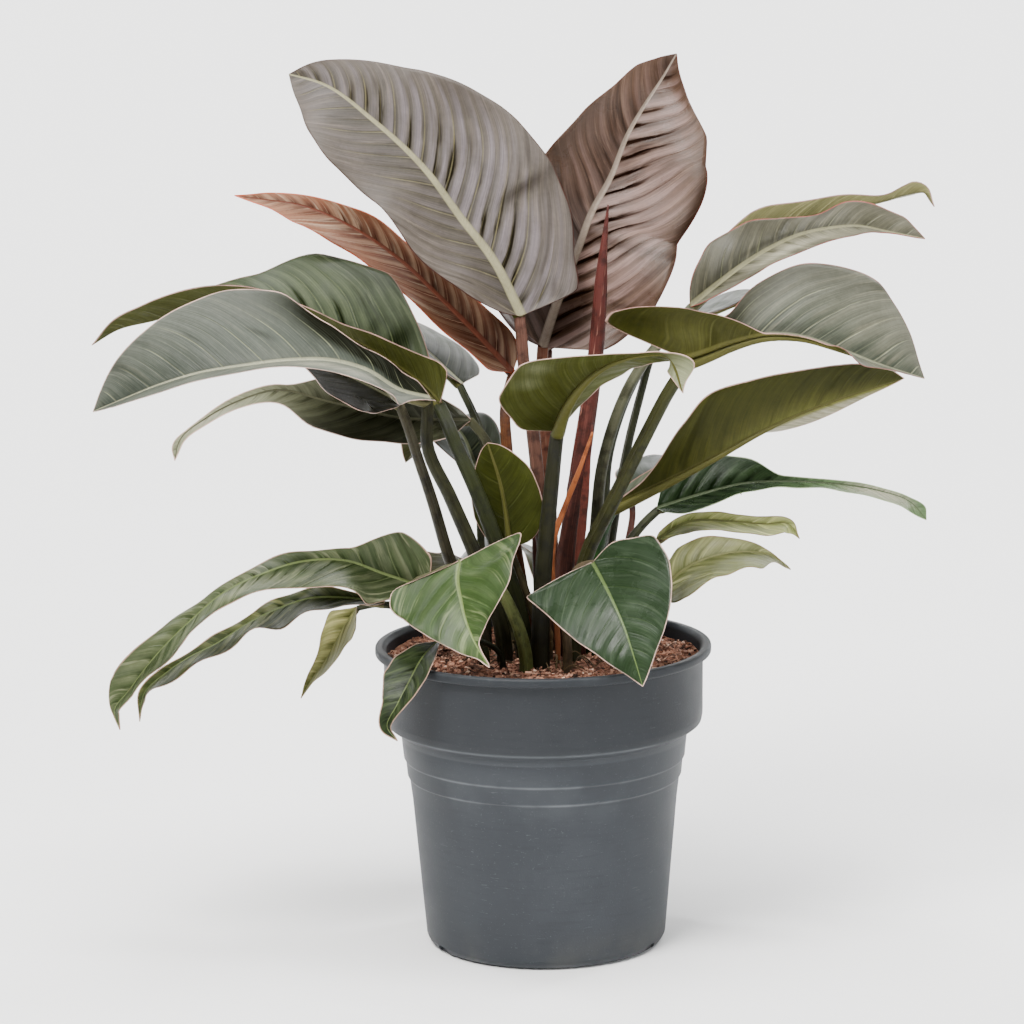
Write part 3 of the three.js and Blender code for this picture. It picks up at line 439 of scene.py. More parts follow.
def stalkSkin(name, codes, tone=(1, 1, 1)):
    made, w, shader = newMaterial(name)
    foot, top, streak, dark, paleEdge = [colour(code, tone) for code in codes.split()]
    along, edge, turn, seed = [w.attribute(mark) for mark in ("along", "edge", "turn", "seed")]
    grain = w.noise(w.vector(w.times(turn, 3.0), w.times(along, 1.6), seed), 3.0, 4.0, 0.6)
    hair = w.noise(w.vector(w.times(turn, 14.0), along, seed), 2.0, 2.0)
    mottle = w.noise(w.place(), 95.0, 4.0, 0.65)
    base = w.mix(w.span(along, 0.0, 0.9), foot, top)
    base = w.mix(w.span(grain, 0.5, 0.75, 0.0, 0.75), base, streak)
    base = w.mix(w.span(mottle, 0.55, 0.35, 0.0, 0.7), base, dark)
    base = w.mix(w.span(edge, 0.55, 0.95, 0.0, 0.7), base, paleEdge)
    base = w.mix(w.span(along, 0.13, 0.02, 0.0, 0.65), base, dark)
    w.put(shader["Base Color"], base)
    w.put(shader["Roughness"], w.span(mottle, 0.3, 0.7, 0.4, 0.6))
    w.put(shader["Normal"], w.bump(w.plus(hair, mottle), 0.5, 0.5))
    w.put(shader["Specular IOR Level"], 0.2)
    return made


print("leaves")
# Upper side, underside and stalk; pleat and frill are the height in mm of the swelling between the side
# veins and of the small crinkles of the margin.
dress = {
    "upperLeft": ("slate", "olive", "greyStalk", 0.7, 0.5),
    "upperRight": ("bronze", "rust", "redStalk", 1.0, 1.0),
    "upperBack": ("copper", "rust", "redStalk", 0.8, 0.8),
    "leftFront": ("greyGreen", "paleOlive", "greyStalk", 0.5, 0.8),
    "leftBack": ("meadow", "olive", "greenStalk", 0.8, 1.0),
    "leftUnder": ("ink", "paleOlive", "greyStalk", 0.6, 0.8),
    "leftDark": ("ink", "paleOlive", "greenStalk", 0.6, 1.0),
    "centreSmall": ("meadow", "olive", "greenStalk", 0.5, 0.8),
    "centreUnder": ("fresh", "litOlive", "greenStalk", 0.7, 1.2),
    "topRight": ("moss", "paleOlive", "greenStalk", 0.6, 1.0),
    "topRightBack": ("moss", "paleOlive", "greenStalk", 0.6, 1.0),
    "rightBig": ("sage", "olive", "greenStalk", 0.8, 1.2),
    "rightUnder": ("meadow", "litOlive", "greenStalk", 0.5, 0.6),
    "rightDark": ("bottle", "paleOlive", "greyStalk", 0.7, 1.0),
    "rightPale": ("straw", "paleOlive", "greenStalk", 0.6, 1.0),
    "rightLow": ("straw", "paleOlive", "greenStalk", 0.8, 1.6),
    "frontRight": ("deep", "olive", "greenStalk", 0.6, 0.9),
    "frontLeft": ("fresh", "paleOlive", "freshStalk", 0.7, 1.2),
    "rimLeaf": ("streaky", "paleOlive", "greenStalk", 0.5, 0.8),
    "lowLeftLong": ("streaky", "paleOlive", "greenStalk", 1.1, 2.2),
    "lowLeftUnder": ("streaky", "paleOlive", "greenStalk", 1.1, 2.2),
    "hanging": ("straw", "paleOlive", "greenStalk", 0.5, 0.8),
    "backHigh": ("bronze", "rust", "redStalk", 0.8, 0.8),
    "backRight": ("meadow", "olive", "greenStalk", 0.7, 1.0),
    "backLeft": ("greyGreen", "olive", "greenStalk", 0.7, 1.0),
    "backTip": ("meadow", "olive", "greenStalk", 0.6, 1.0),
    "backThin": ("deep", "olive", "redStalk", 0.6, 1.0),
    "backDown": ("fresh", "olive", "greenStalk", 0.7, 1.0),
    "backDownLeft": ("deep", "olive", "greenStalk", 0.7, 1.0),
    "backDownRight": ("fresh", "olive", "greenStalk", 0.7, 1.0),
}
# What each side of a leaf multiplies its skin's red, green and blue by. Leaves at the back have a darker usual tone.
# The very low tone of leftUnder is painted shade on a leaf that lies in the shadow of the leaves above.
usualTones = {"upper": (0.3, 0.3, 0.28), "under": (0.24, 0.25, 0.22), "stalk": (0.3, 0.28, 0.25)}
backTones = {"upper": (0.17, 0.18, 0.16), "under": (0.18, 0.19, 0.16), "stalk": (0.3, 0.28, 0.25)}
tones = {
    "upperLeft": {"upper": (0.29, 0.27, 0.25), "stalk": (0.91, 0.41, 0.35)},
    "upperRight": {"upper": (0.26, 0.22, 0.16), "stalk": (0.64, 0.79, 0.72)},
    "upperBack": {"upper": (0.59, 0.82, 0.8), "stalk": (0.46, 0.47, 0.18)},
    "leftFront": {"upper": (0.29, 0.31, 0.3), "stalk": (0.21, 0.22, 0.09)},
    "leftBack": {"upper": (0.2, 0.22, 0.16), "under": (0.25, 0.28, 0.24), "stalk": (0.15, 0.16, 0.04)},
    # painted shade: this leaf lies in the shadow of the leaves above
    "leftUnder": {"upper": (0.04, 0.04, 0.04), "stalk": (0.49, 0.45, 0.33)},
    "leftDark": {"upper": (0.21, 0.22, 0.17), "stalk": (0.65, 0.54, 0.6)},
    "centreSmall": {"under": (0.14, 0.17, 0.07), "stalk": (0.35, 0.21, 0.16)},
    "centreUnder": {"under": (0.2, 0.23, 0.17), "stalk": (0.13, 0.11, 0.04)},
    "topRightBack": {"under": (0.84, 0.89, 0.75)},
    "topRight": {"upper": (0.27, 0.29, 0.26), "stalk": (0.89, 0.76, 1.04)},
    "rightBig": {"upper": (0.37, 0.37, 0.33), "under": (0.23, 0.24, 0.16), "stalk": (0.31, 0.27, 0.12)},
    "rightUnder": {"under": (0.12, 0.13, 0.04), "stalk": (0.11, 0.42, 0.1)},
    "rightDark": {"upper": (0.09, 0.14, 0.07), "stalk": (0.38, 0.45, 0.24)},
    "rightPale": {"upper": (0.98, 1.07, 0.68)},
    "rightLow": {"upper": (0.35, 0.39, 0.26)},
    "frontRight": {"upper": (0.2, 0.22, 0.17), "stalk": (1.01, 0.6, 0.8)},
    "frontLeft": {"upper": (0.29, 0.33, 0.2), "stalk": (0.65, 0.61, 0.61)},
    "rimLeaf": {"upper": (0.06, 0.09, 0.04), "stalk": (0.11, 0.12, 0.04)},
    "lowLeftLong": {"upper": (0.28, 0.31, 0.24)},
    "lowLeftUnder": {"upper": (0.19, 0.21, 0.1)},
    "hanging": {"upper": (0.52, 0.53, 0.33)},
    "backHigh": {"upper": (0.24, 0.22, 0.19)},
}
# Share of the painted light and shade of the ribbing between the side veins on the left and right half of each leaf
usualRibbing = (0.6, 0.6)
ribbed = {
    "upperLeft": (0.4, 1.5), "upperRight": (0.6, 1.5), "upperBack": (0.8, 1.2), "leftFront": (0.3, 0.25),
    "leftBack": (0.5, 1.2), "leftUnder": (0.5, 0.5), "leftDark": (0.8, 0.6), "topRight": (0.5, 0.8),
    "rightBig": (0.55, 0.6), "rightDark": (0.9, 0.7), "frontRight": (0.25, 0.25), "frontLeft": (0.2, 0.2),
    "rimLeaf": (0.7, 0.7), "lowLeftLong": (0.8, 0.8), "lowLeftUnder": (0.8, 0.8), "hanging": (0.7, 0.9),
}
# Painted highlights (above 0, a pale painted glare above 1) and painted shadows (below 0): share of the rib, share of
# the half width (left below 0), the reach both ways, and the amount
lightAndShadePatches = {
    "upperLeft": [(0.32, 0.5, 0.3, 0.4, 0.3), (0.06, 0.6, 0.1, 0.4, 0.2), (0.1, -0.4, 0.15, 0.4, -0.2),
                  (0.3, 0.62, 0.03, 0.32, -1.0), (0.12, 0.35, 0.03, 0.15, -0.5), (0.9, -0.3, 0.08, 0.5, 0.25),
                  (0.55, 0.75, 0.1, 0.2, -0.3)],
    "upperRight": [(0.5, 0.5, 0.2, 0.3, 0.6), (0.25, 0.6, 0.15, 0.3, 0.45), (0.08, 0.35, 0.12, 0.5, -0.7),
                   (0.55, 0.98, 0.2, 0.1, -0.85), (0.84, 0.5, 0.06, 0.3, 0.4), (0.4, -0.95, 0.4, 0.2, -0.35),
                   (0.2, -0.5, 0.2, 0.5, -0.3), (0.37, 0.45, 0.03, 0.5, -1.0), (0.2, 0.6, 0.02, 0.3, -0.7),
                   (0.95, 0.3, 0.06, 1.0, -0.3)],
    "upperBack": [(0.15, -0.3, 0.2, 1.0, -0.6), (0.4, -0.6, 0.3, 0.5, -0.4), (0.85, 0, 0.12, 1.0, 0.2),
                  (0.45, 0.4, 0.3, 0.6, -0.5)],
    "leftFront": [(0.3, 0.92, 0.17, 0.42, -1.2), (0.17, 0.7, 0.14, 0.5, -1.2), (0.06, 0.4, 0.1, 0.6, -0.9),
                  (0.85, 0.5, 0.15, 0.6, 0.25), (0.35, -0.5, 0.35, 0.6, 1.5)],
    "leftBack": [(0.2, 0.45, 0.035, 0.45, -1.0), (0.27, 0.3, 0.02, 0.2, -0.6), (0.06, 0.6, 0.06, 0.5, 0.25),
                 (0.42, 0.4, 0.08, 0.4, 0.35), (0.33, 0.9, 0.1, 0.2, -0.3)],
    "leftUnder": [(0.3, -0.5, 0.3, 0.5, -0.4)],
    "leftDark": [(0.84, 0, 0.24, 2.0, 1.5), (0.25, -0.6, 0.08, 0.25, 0.3), (0.2, 0, 0.2, 1.0, -0.4)],
    "centreUnder": [(0.9, 0, 0.15, 2.0, 0.5)],
    "topRight": [(0.1, 0, 0.12, 1.0, -0.4), (0.8, -0.3, 0.2, 0.5, 0.15), (0.45, 0.55, 0.35, 0.45, 1.6),
                 (0.4, -0.2, 0.25, 0.12, -0.6)],
    "topRightBack": [(0.5, 0.5, 0.4, 0.5, 0.25)],
    "rightBig": [(0.18, -0.6, 0.14, 0.7, -0.9), (0.4, -0.95, 0.2, 0.3, -0.4), (0.7, -0.4, 0.2, 0.4, 0.2),
                 (0.45, -0.1, 0.3, 0.1, -0.4)],
    "rightDark": [(0.8, 0, 0.24, 2.0, 1.9), (0.15, -0.5, 0.15, 0.6, -0.4), (0.3, -0.4, 0.06, 0.2, 0.3)],
    "rightLow": [(0.5, -0.6, 0.3, 0.5, 1.4), (0.3, 0.7, 0.2, 0.5, -0.6)],
    "rightPale": [(0.7, -0.6, 0.2, 0.5, 0.4), (0.3, 0.6, 0.2, 0.5, -0.4)],
    "frontRight": [(0.6, 0.45, 0.2, 0.4, -0.2), (0.25, -0.4, 0.2, 0.4, -0.3), (0.35, 0.6, 0.15, 0.3, 0.3),
                   (0.5, -0.2, 0.1, 0.15, 0.3)],
    "frontLeft": [(0.75, 0.4, 0.15, 0.5, 0.25), (0.1, -0.5, 0.1, 0.4, 0.2), (0.3, 0.5, 0.2, 0.4, -0.2),
                  (0.55, 0.15, 0.2, 0.12, 0.45)],
    "lowLeftLong": [(0.45, -0.6, 0.13, 0.5, 0.55), (0.12, -0.3, 0.14, 0.7, -0.6), (0.75, 0.5, 0.15, 0.5, 0.3),
                    (0.33, 0.1, 0.05, 0.6, -0.6), (0.6, -0.9, 0.2, 0.2, -0.6), (0.85, -0.3, 0.12, 0.3, -0.5)],
    "lowLeftUnder": [(0.45, 0.3, 0.1, 0.5, 0.5), (0.12, 0, 0.16, 1.0, -0.8), (0.6, -0.6, 0.08, 0.5, -0.6),
                     (0.75, 0.4, 0.12, 0.4, -0.4), (0.7, -0.6, 0.06, 0.4, 0.5)],
    "hanging": [(0.4, 0.6, 0.3, 0.4, 0.4), (0.4, -0.7, 0.3, 0.4, -0.4)],
    "rimLeaf": [(0.3, -0.5, 0.3, 0.4, -0.3)],
}
# the same painted highlights and shadows on the undersides
underLightAndShade = {
    "centreUnder": [(0.28, 0.72, 0.03, 0.16, 0.3), (0.36, 0.78, 0.03, 0.16, 0.35), (0.05, 0.5, 0.12, 0.5, -0.5),
                    (0.35, -0.6, 0.3, 0.5, 0.22), (0.97, 0, 0.1, 2.0, 1.4)],
    "rightBig": [(0.09, 0.31, 0.05, 0.2, 0.6), (0.25, 0.6, 0.15, 0.5, -0.3), (0.04, 0.8, 0.06, 0.4, -0.5)],
    "rightUnder": [(0.65, -0.7, 0.35, 0.6, 2.4), (0.5, 0.3, 0.2, 0.5, 0.02)],
    "leftFront": [(0.5, 0, 2.0, 2.0, 0.5)],
    "leftDark": [(0.75, 0, 0.3, 2.0, 0.6)],
}
leafMake = {
    "rows": 96, "across": 22, "smallRows": 72, "smallAcross": 16, "smallBelow": 32,   # grid, and when it is smaller
    "evenRows": 0.45, "columnPower": 1.25,   # rows crowd at both ends and columns at the rib
    "thick": 0.75, "rimThick": 0.35, "rimReach": 6,
    "slant": 0.8, "bend": 0.45, "slimFrom": 3.4, "slimPower": 1.6, "fewestVeins": 6,   # side veins
    "wander": 0.16, "wanderWaves": (5, 1.2),   # how far they stray, and the waves of it along and across
    # the swelling between them: share of it that is even, share that varies, waves of that, and how it dies out
    # towards the margin and in the last mm before the rib and the rim
    "swellShare": 0.65, "swellVaries": 0.35, "swellWaves": 2.2, "swellFrom": 1.05, "ribSide": 5, "rimSide": 4,
    "furrow": 0.45, "furrowReach": 1.2,   # depth of the channel over the midrib, reach in widths of its pale band
    "underComb": 0.45, "tipComb": 0.4,   # share of the painted light and shade of the ribbing on the underside and at the tip
    "crinkle": (14, 1.5),   # waves of the crinkled margin, along and across
    "lobeFade": 5, "waveFull": 16, "waveShift": 1.3, "baseWidth": 0.8, "tipWidth": 0.2,
    "widthShares": [0.04, 0.12, 0.22, 0.34, 0.46, 0.58, 0.7, 0.81, 0.9, 0.96],
}
stalkMake = {
    "steps": 34, "sides": 16, "sunk": 0.75, "sinkFrom": 0.86,   # the top end sinks into the underside of the blade
    "keelSteps": 26, "keelPower": 1.1, "keelTaper": 0.35, "keelLeast": 0.3, "keelSunk": 0.95,
    "keelStart": [0.012, 0.03], "keelRun": (0.06, 0.97),   # shares of the rib where its rings lie
    "keelVeins": 20, "awayFromRim": 50.0,   # keep the blade's side veins and rim off the keel
    "channel": 0.42, "channelRise": 0.3, "shoulder": 0.62, "shoulderWidth": 0.24,
}
firstSeed = 11
soil = {"top": 182, "rootDepth": 13, "straight": 8}
# Each leaf from its foot in the soil to its tip. rib holds points on the midrib from blade base to tip, stalk
# those between the soil and the blade, girth the stalk's radius at foot and top. face is the way the upper side
# looks. edge, fold and lobe are for the left and right half: half widths at widthShares of the rib, angle that it is
# raised (a row is spread evenly from base to tip), and how far its base is swept back. wave is the margin's ripple:
# height, count and start.
leaves = {
    "upperLeft": {
        "rib": [[-11, 20, 393], [-29, 31, 428], [-47, 39, 451], [-71, 50, 483], [-102, 60, 512],
                [-134, 68, 535], [-155, 72, 541]],
        "foot": [3, 14], "girth": [5, 3.6],
        "stalk": [[0, 12, 266], [-5, 14, 322], [-10, 17, 363]],
        "face": [0.05, -1, 0.25], "fold": [8, 22],
        "edge": [[15.5, 32, 40.5, 46, 46, 47.5, 47.5, 40.5, 29, 15],
                 [38.5, 47, 61, 66.5, 66, 57.5, 44, 31.5, 17.5, 8]],
        "wave": [1.5, 3, 0], "turn": [-25, -22], "lobe": [0.1, 0.25],
    },
    "upperRight": {
        "rib": [[2, 45, 370], [10, 52, 393], [25, 61, 429], [34, 67, 452], [46, 72, 473],
                [58, 78, 501], [69, 82, 519], [80, 86, 535], [89, 88, 550]],
        "foot": [9, 27], "girth": [5, 3.6],
        "stalk": [[6, 30, 250], [4, 36, 312], [1, 41, 343]],
        "face": [0.2, -1, 0.3], "fold": [25, 15],
        "edge": [[20, 33.5, 42.5, 45.5, 46, 43.5, 33, 24, 19.5, 9.5],
                 [41, 53.5, 62.5, 65, 62, 64, 58.5, 49, 21.5, 7]],
        "wave": [2.5, 3, 1], "turn": [15, 15],
    },
    "upperBack": {
        "rib": [[-17, 70, 351], [-39, 86, 373], [-63, 98, 396], [-88, 108, 419], [-120, 112, 441],
                [-152, 112, 455], [-176, 111, 459], [-194, 110, 462]],
        "foot": [-10, 31], "girth": [4.6, 3.2],
        "stalk": [[-17, 36, 249], [-21, 46, 305], [-22, 54, 329]],
        "face": [-0.1, -0.8, 0.7], "fold": [25, 15],
        "edge": [[14.5, 16, 18.5, 20, 23.5, 23, 26, 23, 8.5, 3.6],
                 [13.5, 17.5, 16.5, 13, 12, 13.5, 10, 7.5, 5.5, 2.1]],
        "wave": [2, 3, 0],
    },
    "leftFront": {
        "rib": [[-67, -14, 347], [-86, -26, 354], [-106, -35, 368], [-127, -42, 375], [-151, -46, 376],
                [-181, -47, 373], [-206, -46, 369], [-230, -44, 362], [-255, -40, 352], [-272, -38, 345]],
        "foot": [-24, -12], "girth": [5.4, 3.8],
        "stalk": [[-41, -14, 248], [-56, -14, 285], [-70, -13, 319]],
        "face": [0, -0.65, 0.76], "fold": [[36, 38], [5, 38]],
        "edge": [[13.5, 21, 51.5, 31, 20.5, 19.5, 21, 27.5, 22, 9],
                 [12.5, 16, 16, 25.5, 45.5, 50, 43, 32.5, 21.5, 10]],
        "wave": [1, 2.5, 0], "lobe": [0.3, 0],
    },
    "leftBack": {
        "rib": [[-62, 16, 340], [-70, 24, 348], [-81, 30, 356], [-105, 39, 371], [-124, 44, 380],
                [-144, 48, 390], [-175, 51, 399], [-213, 51, 398], [-241, 50, 390], [-266, 47, 384],
                [-281, 44, 375]],
        "foot": [-12, -2], "girth": [5.8, 4.2],
        "stalk": [[-29, -12, 258], [-40, -10, 288], [-54, 2, 319]],
        "face": [0, -0.3, 0.95], "fold": [[95, 78, 75, 70, 60], [25, 20, 20, 10, 0]],
        "edge": [[23, 19.5, 12.5, 8.5, 9.5, 14.5, 15.5, 19, 12, 5],
                 [3.6, 17, 36.5, 61.5, 57.5, 24.5, 18.5, 18.5, 10, 4.5]],
        "wave": [1.5, 3, 2], "lobe": [0.3, 0.3],
    },
    "leftUnder": {
        "rib": [[-86, 14, 340], [-105, 12, 351], [-127, 10, 362], [-148, 12, 371], [-172, 16, 378]],
        "foot": [-37, 8], "girth": [4.6, 3.2],
        "stalk": [[-57, 10, 240], [-68, 13, 279], [-78, 14, 311]],
        "face": [0, -0.5, 0.85], "fold": [25, -10],
        "edge": [[15, 31.5, 49, 66.5, 55, 26.5, 16, 10, 3.4, 1.2],
                 [15.5, 23.5, 27.5, 29, 27.5, 24.5, 19.5, 14, 8, 3.7]],
        "wave": [1.5, 2.5, 2],
    },
    "leftDark": {
        "rib": [[-44, 48, 324], [-89, 60, 324], [-133, 64, 334], [-168, 64, 342], [-190, 63, 336],
                [-212, 61, 325], [-229, 58, 311], [-232, 55, 299]],
        "foot": [-20, 18], "girth": [3.8, 2.8],
        "stalk": [[-21, 28, 250], [-28, 38, 293], [-34, 45, 311]],
        "face": [0, -0.75, 0.65], "fold": [20, 20],
        "edge": [[19, 24, 24.5, 31, 28, 14, 8, 6, 4.5, 2.7],
                 [8, 16.5, 21, 20, 16.5, 4, 4, 2.5, 1.4, 3.6]],
        "wave": [1.5, 2.5, 2],
    },
    "centreSmall": {
        "rib": [[-20, 2, 250], [-22, 3, 271], [-26, 4, 293], [-33, 5, 316]],
        "foot": [0, 2], "girth": [3.4, 2.4],
        "stalk": [[-8, 1, 215], [-15, 3, 235]],
        "face": [0.2, 1, -0.2], "fold": [15, 15],
        "edge": [[12, 18.5, 22, 24, 23.5, 22, 19, 14.5, 10, 5.5],
                 [11, 16.5, 20, 22, 22, 20.5, 17.5, 13.5, 9, 5]],
        "wave": [0, 3, 0],
    },
    "centreUnder": {
        "rib": [[9, -32, 329], [15, -47, 347], [26, -62, 364], [44, -80, 378], [61, -92, 383],
                [74, -100, 383], [83, -108, 362]],
        "foot": [-2, -28], "girth": [6.2, 4.2],
        "stalk": [[1, -28, 248], [5, -29, 286], [8, -30, 314]],
        "face": [-0.13, 0.5, 0.85], "fold": [0, 5],
        "edge": [[2.9, 8, 11.5, 13, 21, 18, 14, 16.5, 6.5, 2.3],
                 [19, 30, 43.5, 44, 24, 12.5, 3.8, 3.6, 12, 4]],
        "wave": [1.5, 2.5, 0], "curl": [0, 10], "lobe": [0.2, 0.6],
    },
    "topRight": {
        "rib": [[94, 28, 397], [113, 28, 412], [128, 28, 423], [144, 26, 433], [162, 25, 441],
                [181, 24, 445], [199, 23, 446], [214, 22, 443], [239, 20, 438]],
        "foot": [24, 14], "girth": [4.4, 3.2],
        "stalk": [[33, 16, 252], [39, 18, 302], [56, 20, 349]],
        "face": [0, -0.65, 0.76], "fold": [20, 12],
        "edge": [[8.5, 17, 25.5, 22.5, 14, 11, 15.5, 14.5, 12.5, 5.5],
                 [5, 8.5, 11.5, 18, 16.5, 16, 14, 3.4, 1, 1]],
        "wave": [2, 3, 0],
    },
    "topRightBack": {
        "rib": [[102, 54, 399], [116, 56, 421], [140, 58, 437], [165, 58, 447], [190, 57, 454],
                [215, 55, 458], [232, 52, 463], [242, 50, 464], [248, 48, 455]],
        "foot": [25, 29], "girth": [4.2, 3],
        "stalk": [[38, 34, 248], [43, 40, 305], [63, 45, 355]],
        "face": [0, 0.5, 0.85], "fold": [20, 30],
        "edge": [[9, 14.5, 17.5, 18.5, 18, 16, 13, 9.5, 5.5, 2.5],
                 [1.9, 7, 16, 18, 15.5, 11.5, 8, 5, 8.5, 1.8]],
        "wave": [1.5, 3, 0],
    },
    "rightBig": {
        "rib": [[88, -38, 373], [99, -42, 377], [114, -46, 383], [135, -48, 388], [156, -50, 387],
                [180, -49, 379], [205, -47, 369], [232, -44, 360]],
        "foot": [18, -15], "girth": [5.6, 4.2],
        "stalk": [[28, -24, 253], [42, -32, 283], [60, -37, 320], [77, -38, 353]],
        "face": [0, -0.45, 0.9], "fold": [[10, 25, 30, 32, 34], [110, 100, 85, 20, 30]],
        "edge": [[10.5, 16, 20, 39, 49.5, 53.5, 51.5, 42, 26.5, 11],
                 [35, 43.5, 25, 1.4, 1, 1, 15.5, 11, 7, 3.1]],
        "wave": [1, 2.5, 0], "lobe": [0.3, 1.6],
    },
    "rightUnder": {
        "rib": [[43, -8, 277], [73, -14, 292], [105, -20, 309], [136, -22, 326], [158, -22, 336],
                [189, -19, 347], [223, -14, 356]],
        "foot": [30, -3], "girth": [4.2, 3.4],
        "stalk": [[32, -5, 237], [38, -7, 262]],
        "face": [0, 0.59, 0.81], "fold": [[88, 84, 60, 0, -35, -40], 30],
        "edge": [[8, 12, 14, 14.5, 14, 12.5, 10, 7.5, 4.5, 2.1],
                 [2.7, 6.5, 17, 31, 39, 36, 29.5, 22.5, 17.5, 10]],
        "wave": [1, 2.5, 0], "lobe": [0, 0.3],
    },
    "rightDark": {
        "rib": [[72, 14, 272], [99, 10, 281], [127, 8, 288], [155, 7, 289], [186, 5, 287],
                [210, 3, 283], [229, 1, 276], [239, 0, 265]],
        "foot": [38, 10], "girth": [3.4, 2.8],
        "stalk": [[44, 12, 235], [56, 13, 253]],
        "face": [0, -0.6, 0.8], "fold": [25, 25],
        "edge": [[12.5, 19, 23, 17, 3.8, 2.9, 2.9, 2.5, 2.7, 5],
                 [13.5, 23.5, 17.5, 17.5, 9, 9, 15, 12, 13.5, 7]],
        "wave": [1, 3, 0],
    },
    "rightPale": {
        "rib": [[72, 22, 250], [93, 24, 261], [118, 24, 261], [140, 24, 259], [155, 23, 259],
                [162, 22, 250]],
        "foot": [46, 4], "girth": [2.8, 2.2],
        "stalk": [[51, 10, 221], [61, 16, 239]],
        "face": [0, -0.5, 0.85], "fold": [25, 25],
        "edge": [[3.6, 5, 6.5, 6, 6, 5.5, 5.5, 5, 3.6, 1.2],
                 [6, 10, 18.5, 27.5, 23.5, 25, 27.5, 20.5, 13, 3.1]],
        "wave": [1, 3, 0],
    },
    "rightLow": {
        "rib": [[76, -16, 229], [94, -20, 243], [119, -22, 250], [140, -22, 248], [153, -22, 239]],
        "foot": [37, -14], "girth": [3.2, 2.6],
        "stalk": [[38, -15, 212], [55, -16, 224]],
        "face": [0, -0.5, 0.85], "fold": [25, 30],
        "edge": [[11, 11.5, 16.5, 14, 12, 10, 6.5, 2.7, 1.2, 1],
                 [23.5, 41, 63, 76, 57, 51, 47, 21, 7.5, 3.4]],
        "wave": [1.5, 3, 0], "lobe": [0.2, 0.2],
    },
    "frontRight": {
        "rib": [[30, -58, 252], [34, -68, 246], [41, -84, 234], [48, -97, 219], [53, -106, 204],
                [58, -112, 187]],
        "foot": [14, -36], "girth": [3.8, 3],
        "stalk": [[14, -42, 226], [21, -50, 246]],
        "face": [-0.25, -0.83, 0.4], "fold": [8, 8],
        "edge": [[15, 27.5, 41.5, 42.5, 39, 33, 24, 14.5, 8, 3.6],
                 [45, 43, 40, 37, 33, 28.5, 21.5, 14.5, 7.5, 3.1]],
        "wave": [1, 2, 0], "lobe": [0.45, 0.05],
    },
    "frontLeft": {
        "rib": [[-51, -50, 252], [-52, -60, 243], [-50, -72, 233], [-47, -82, 222], [-42, -90, 211],
                [-33, -96, 196]],
        "foot": [-11, -40], "girth": [4.6, 3.2],
        "stalk": [[-19, -44, 219], [-31, -48, 240]],
        "face": [-0.36, -0.72, 0.44], "fold": [5, 14],
        "edge": [[9.5, 43, 46, 37.5, 32, 25, 11, 1.8, 1, 1],
                 [23.5, 39.5, 43, 39, 34, 25.5, 17, 10, 3.6, 1.6]],
        "wave": [1, 2, 0], "lobe": [0.75, -0.55],
    },
    "rimLeaf": {
        "rib": [[-65, -52, 203], [-74, -66, 196], [-82, -80, 184], [-89, -88, 172], [-95, -91, 159],
                [-89, -90, 150]],
        "foot": [-26, -34], "girth": [2.4, 1.8],
        "stalk": [[-39, -42, 201]],
        "face": [-0.4, -0.6, 0.7], "fold": [20, 20],
        "edge": [[5, 8.5, 12, 15.5, 16.5, 14, 8.5, 5.5, 1.9, 1],
                 [3.8, 9, 13, 15.5, 16.5, 13.5, 9.5, 6.5, 3.4, 1.4]],
        "wave": [0.5, 3, 0],
    },
    "lowLeftLong": {
        "rib": [[-71, -22, 230], [-97, -27, 240], [-121, -33, 250], [-148, -40, 251], [-173, -44, 244],
                [-194, -44, 234], [-216, -44, 216], [-238, -42, 194], [-255, -38, 172], [-265, -37, 158],
                [-262, -36, 146]],
        "foot": [-37, -20], "girth": [3.8, 3],
        "stalk": [[-50, -20, 214]],
        "face": [-0.2, -0.55, 0.8], "fold": [[25, 20, 10, 20], [50, 15, 10, 20]],
        "edge": [[15, 33, 56.5, 41, 21.5, 11, 18.5, 11.5, 8, 3.6],
                 [17, 28.5, 8.5, 9, 6.5, 6.5, 14, 13.5, 15, 1]],
        "wave": [2, 5, 0], "lobe": [0, 0.3],
    },
    "lowLeftUnder": {
        "rib": [[-98, -16, 220], [-122, -14, 223], [-144, -14, 223], [-163, -13, 217], [-182, -12, 208],
                [-204, -11, 194], [-220, -10, 186], [-236, -8, 175], [-249, -7, 163], [-253, -6, 144]],
        "foot": [-46, -8], "girth": [3.2, 2.4],
        "stalk": [[-64, -12, 207], [-84, -15, 216]],
        "face": [-0.2, -0.55, 0.8], "fold": [[30, 15, 30], [20, 10, 10]],
        "edge": [[10.5, 12.5, 24.5, 25.5, 12.5, 14.5, 13, 17, 7.5, 1],
                 [2.3, 5.5, 7.5, 8.5, 5, 6.5, 4, 4.5, 4.5, 1.9]],
        "wave": [2, 5, 0],
    },
    "hanging": {
        "rib": [[-117, 14, 211], [-127, 16, 195], [-137, 16, 177], [-146, 15, 165], [-153, 14, 153]],
        "foot": [-48, 6], "girth": [2.6, 1.8],
        "stalk": [[-71, 10, 202], [-99, 13, 213]],
        "face": [-0.6, -0.5, 0.6], "fold": [20, 20],
        "edge": [[29.5, 31, 27, 26.5, 23, 17.5, 12, 6, 2.9, 1.2],
                 [3.3, 9.5, 17, 13, 11, 8.5, 5.5, 4, 2.5, 1]],
        "wave": [0.5, 3, 0],
    },
    "backHigh": {
        "rib": [[6, 84, 363], [5, 112, 398], [1, 138, 438], [-5, 152, 476]],
        "foot": [-1, 41], "girth": [4.2, 3],
        "stalk": [[-2, 52, 258], [3, 70, 320]],
        "face": [0.1, -0.5, 0.9], "fold": [20, 20],
        "edge": [[21.5, 33, 39.5, 42, 41, 37, 31, 23, 14.5, 7],
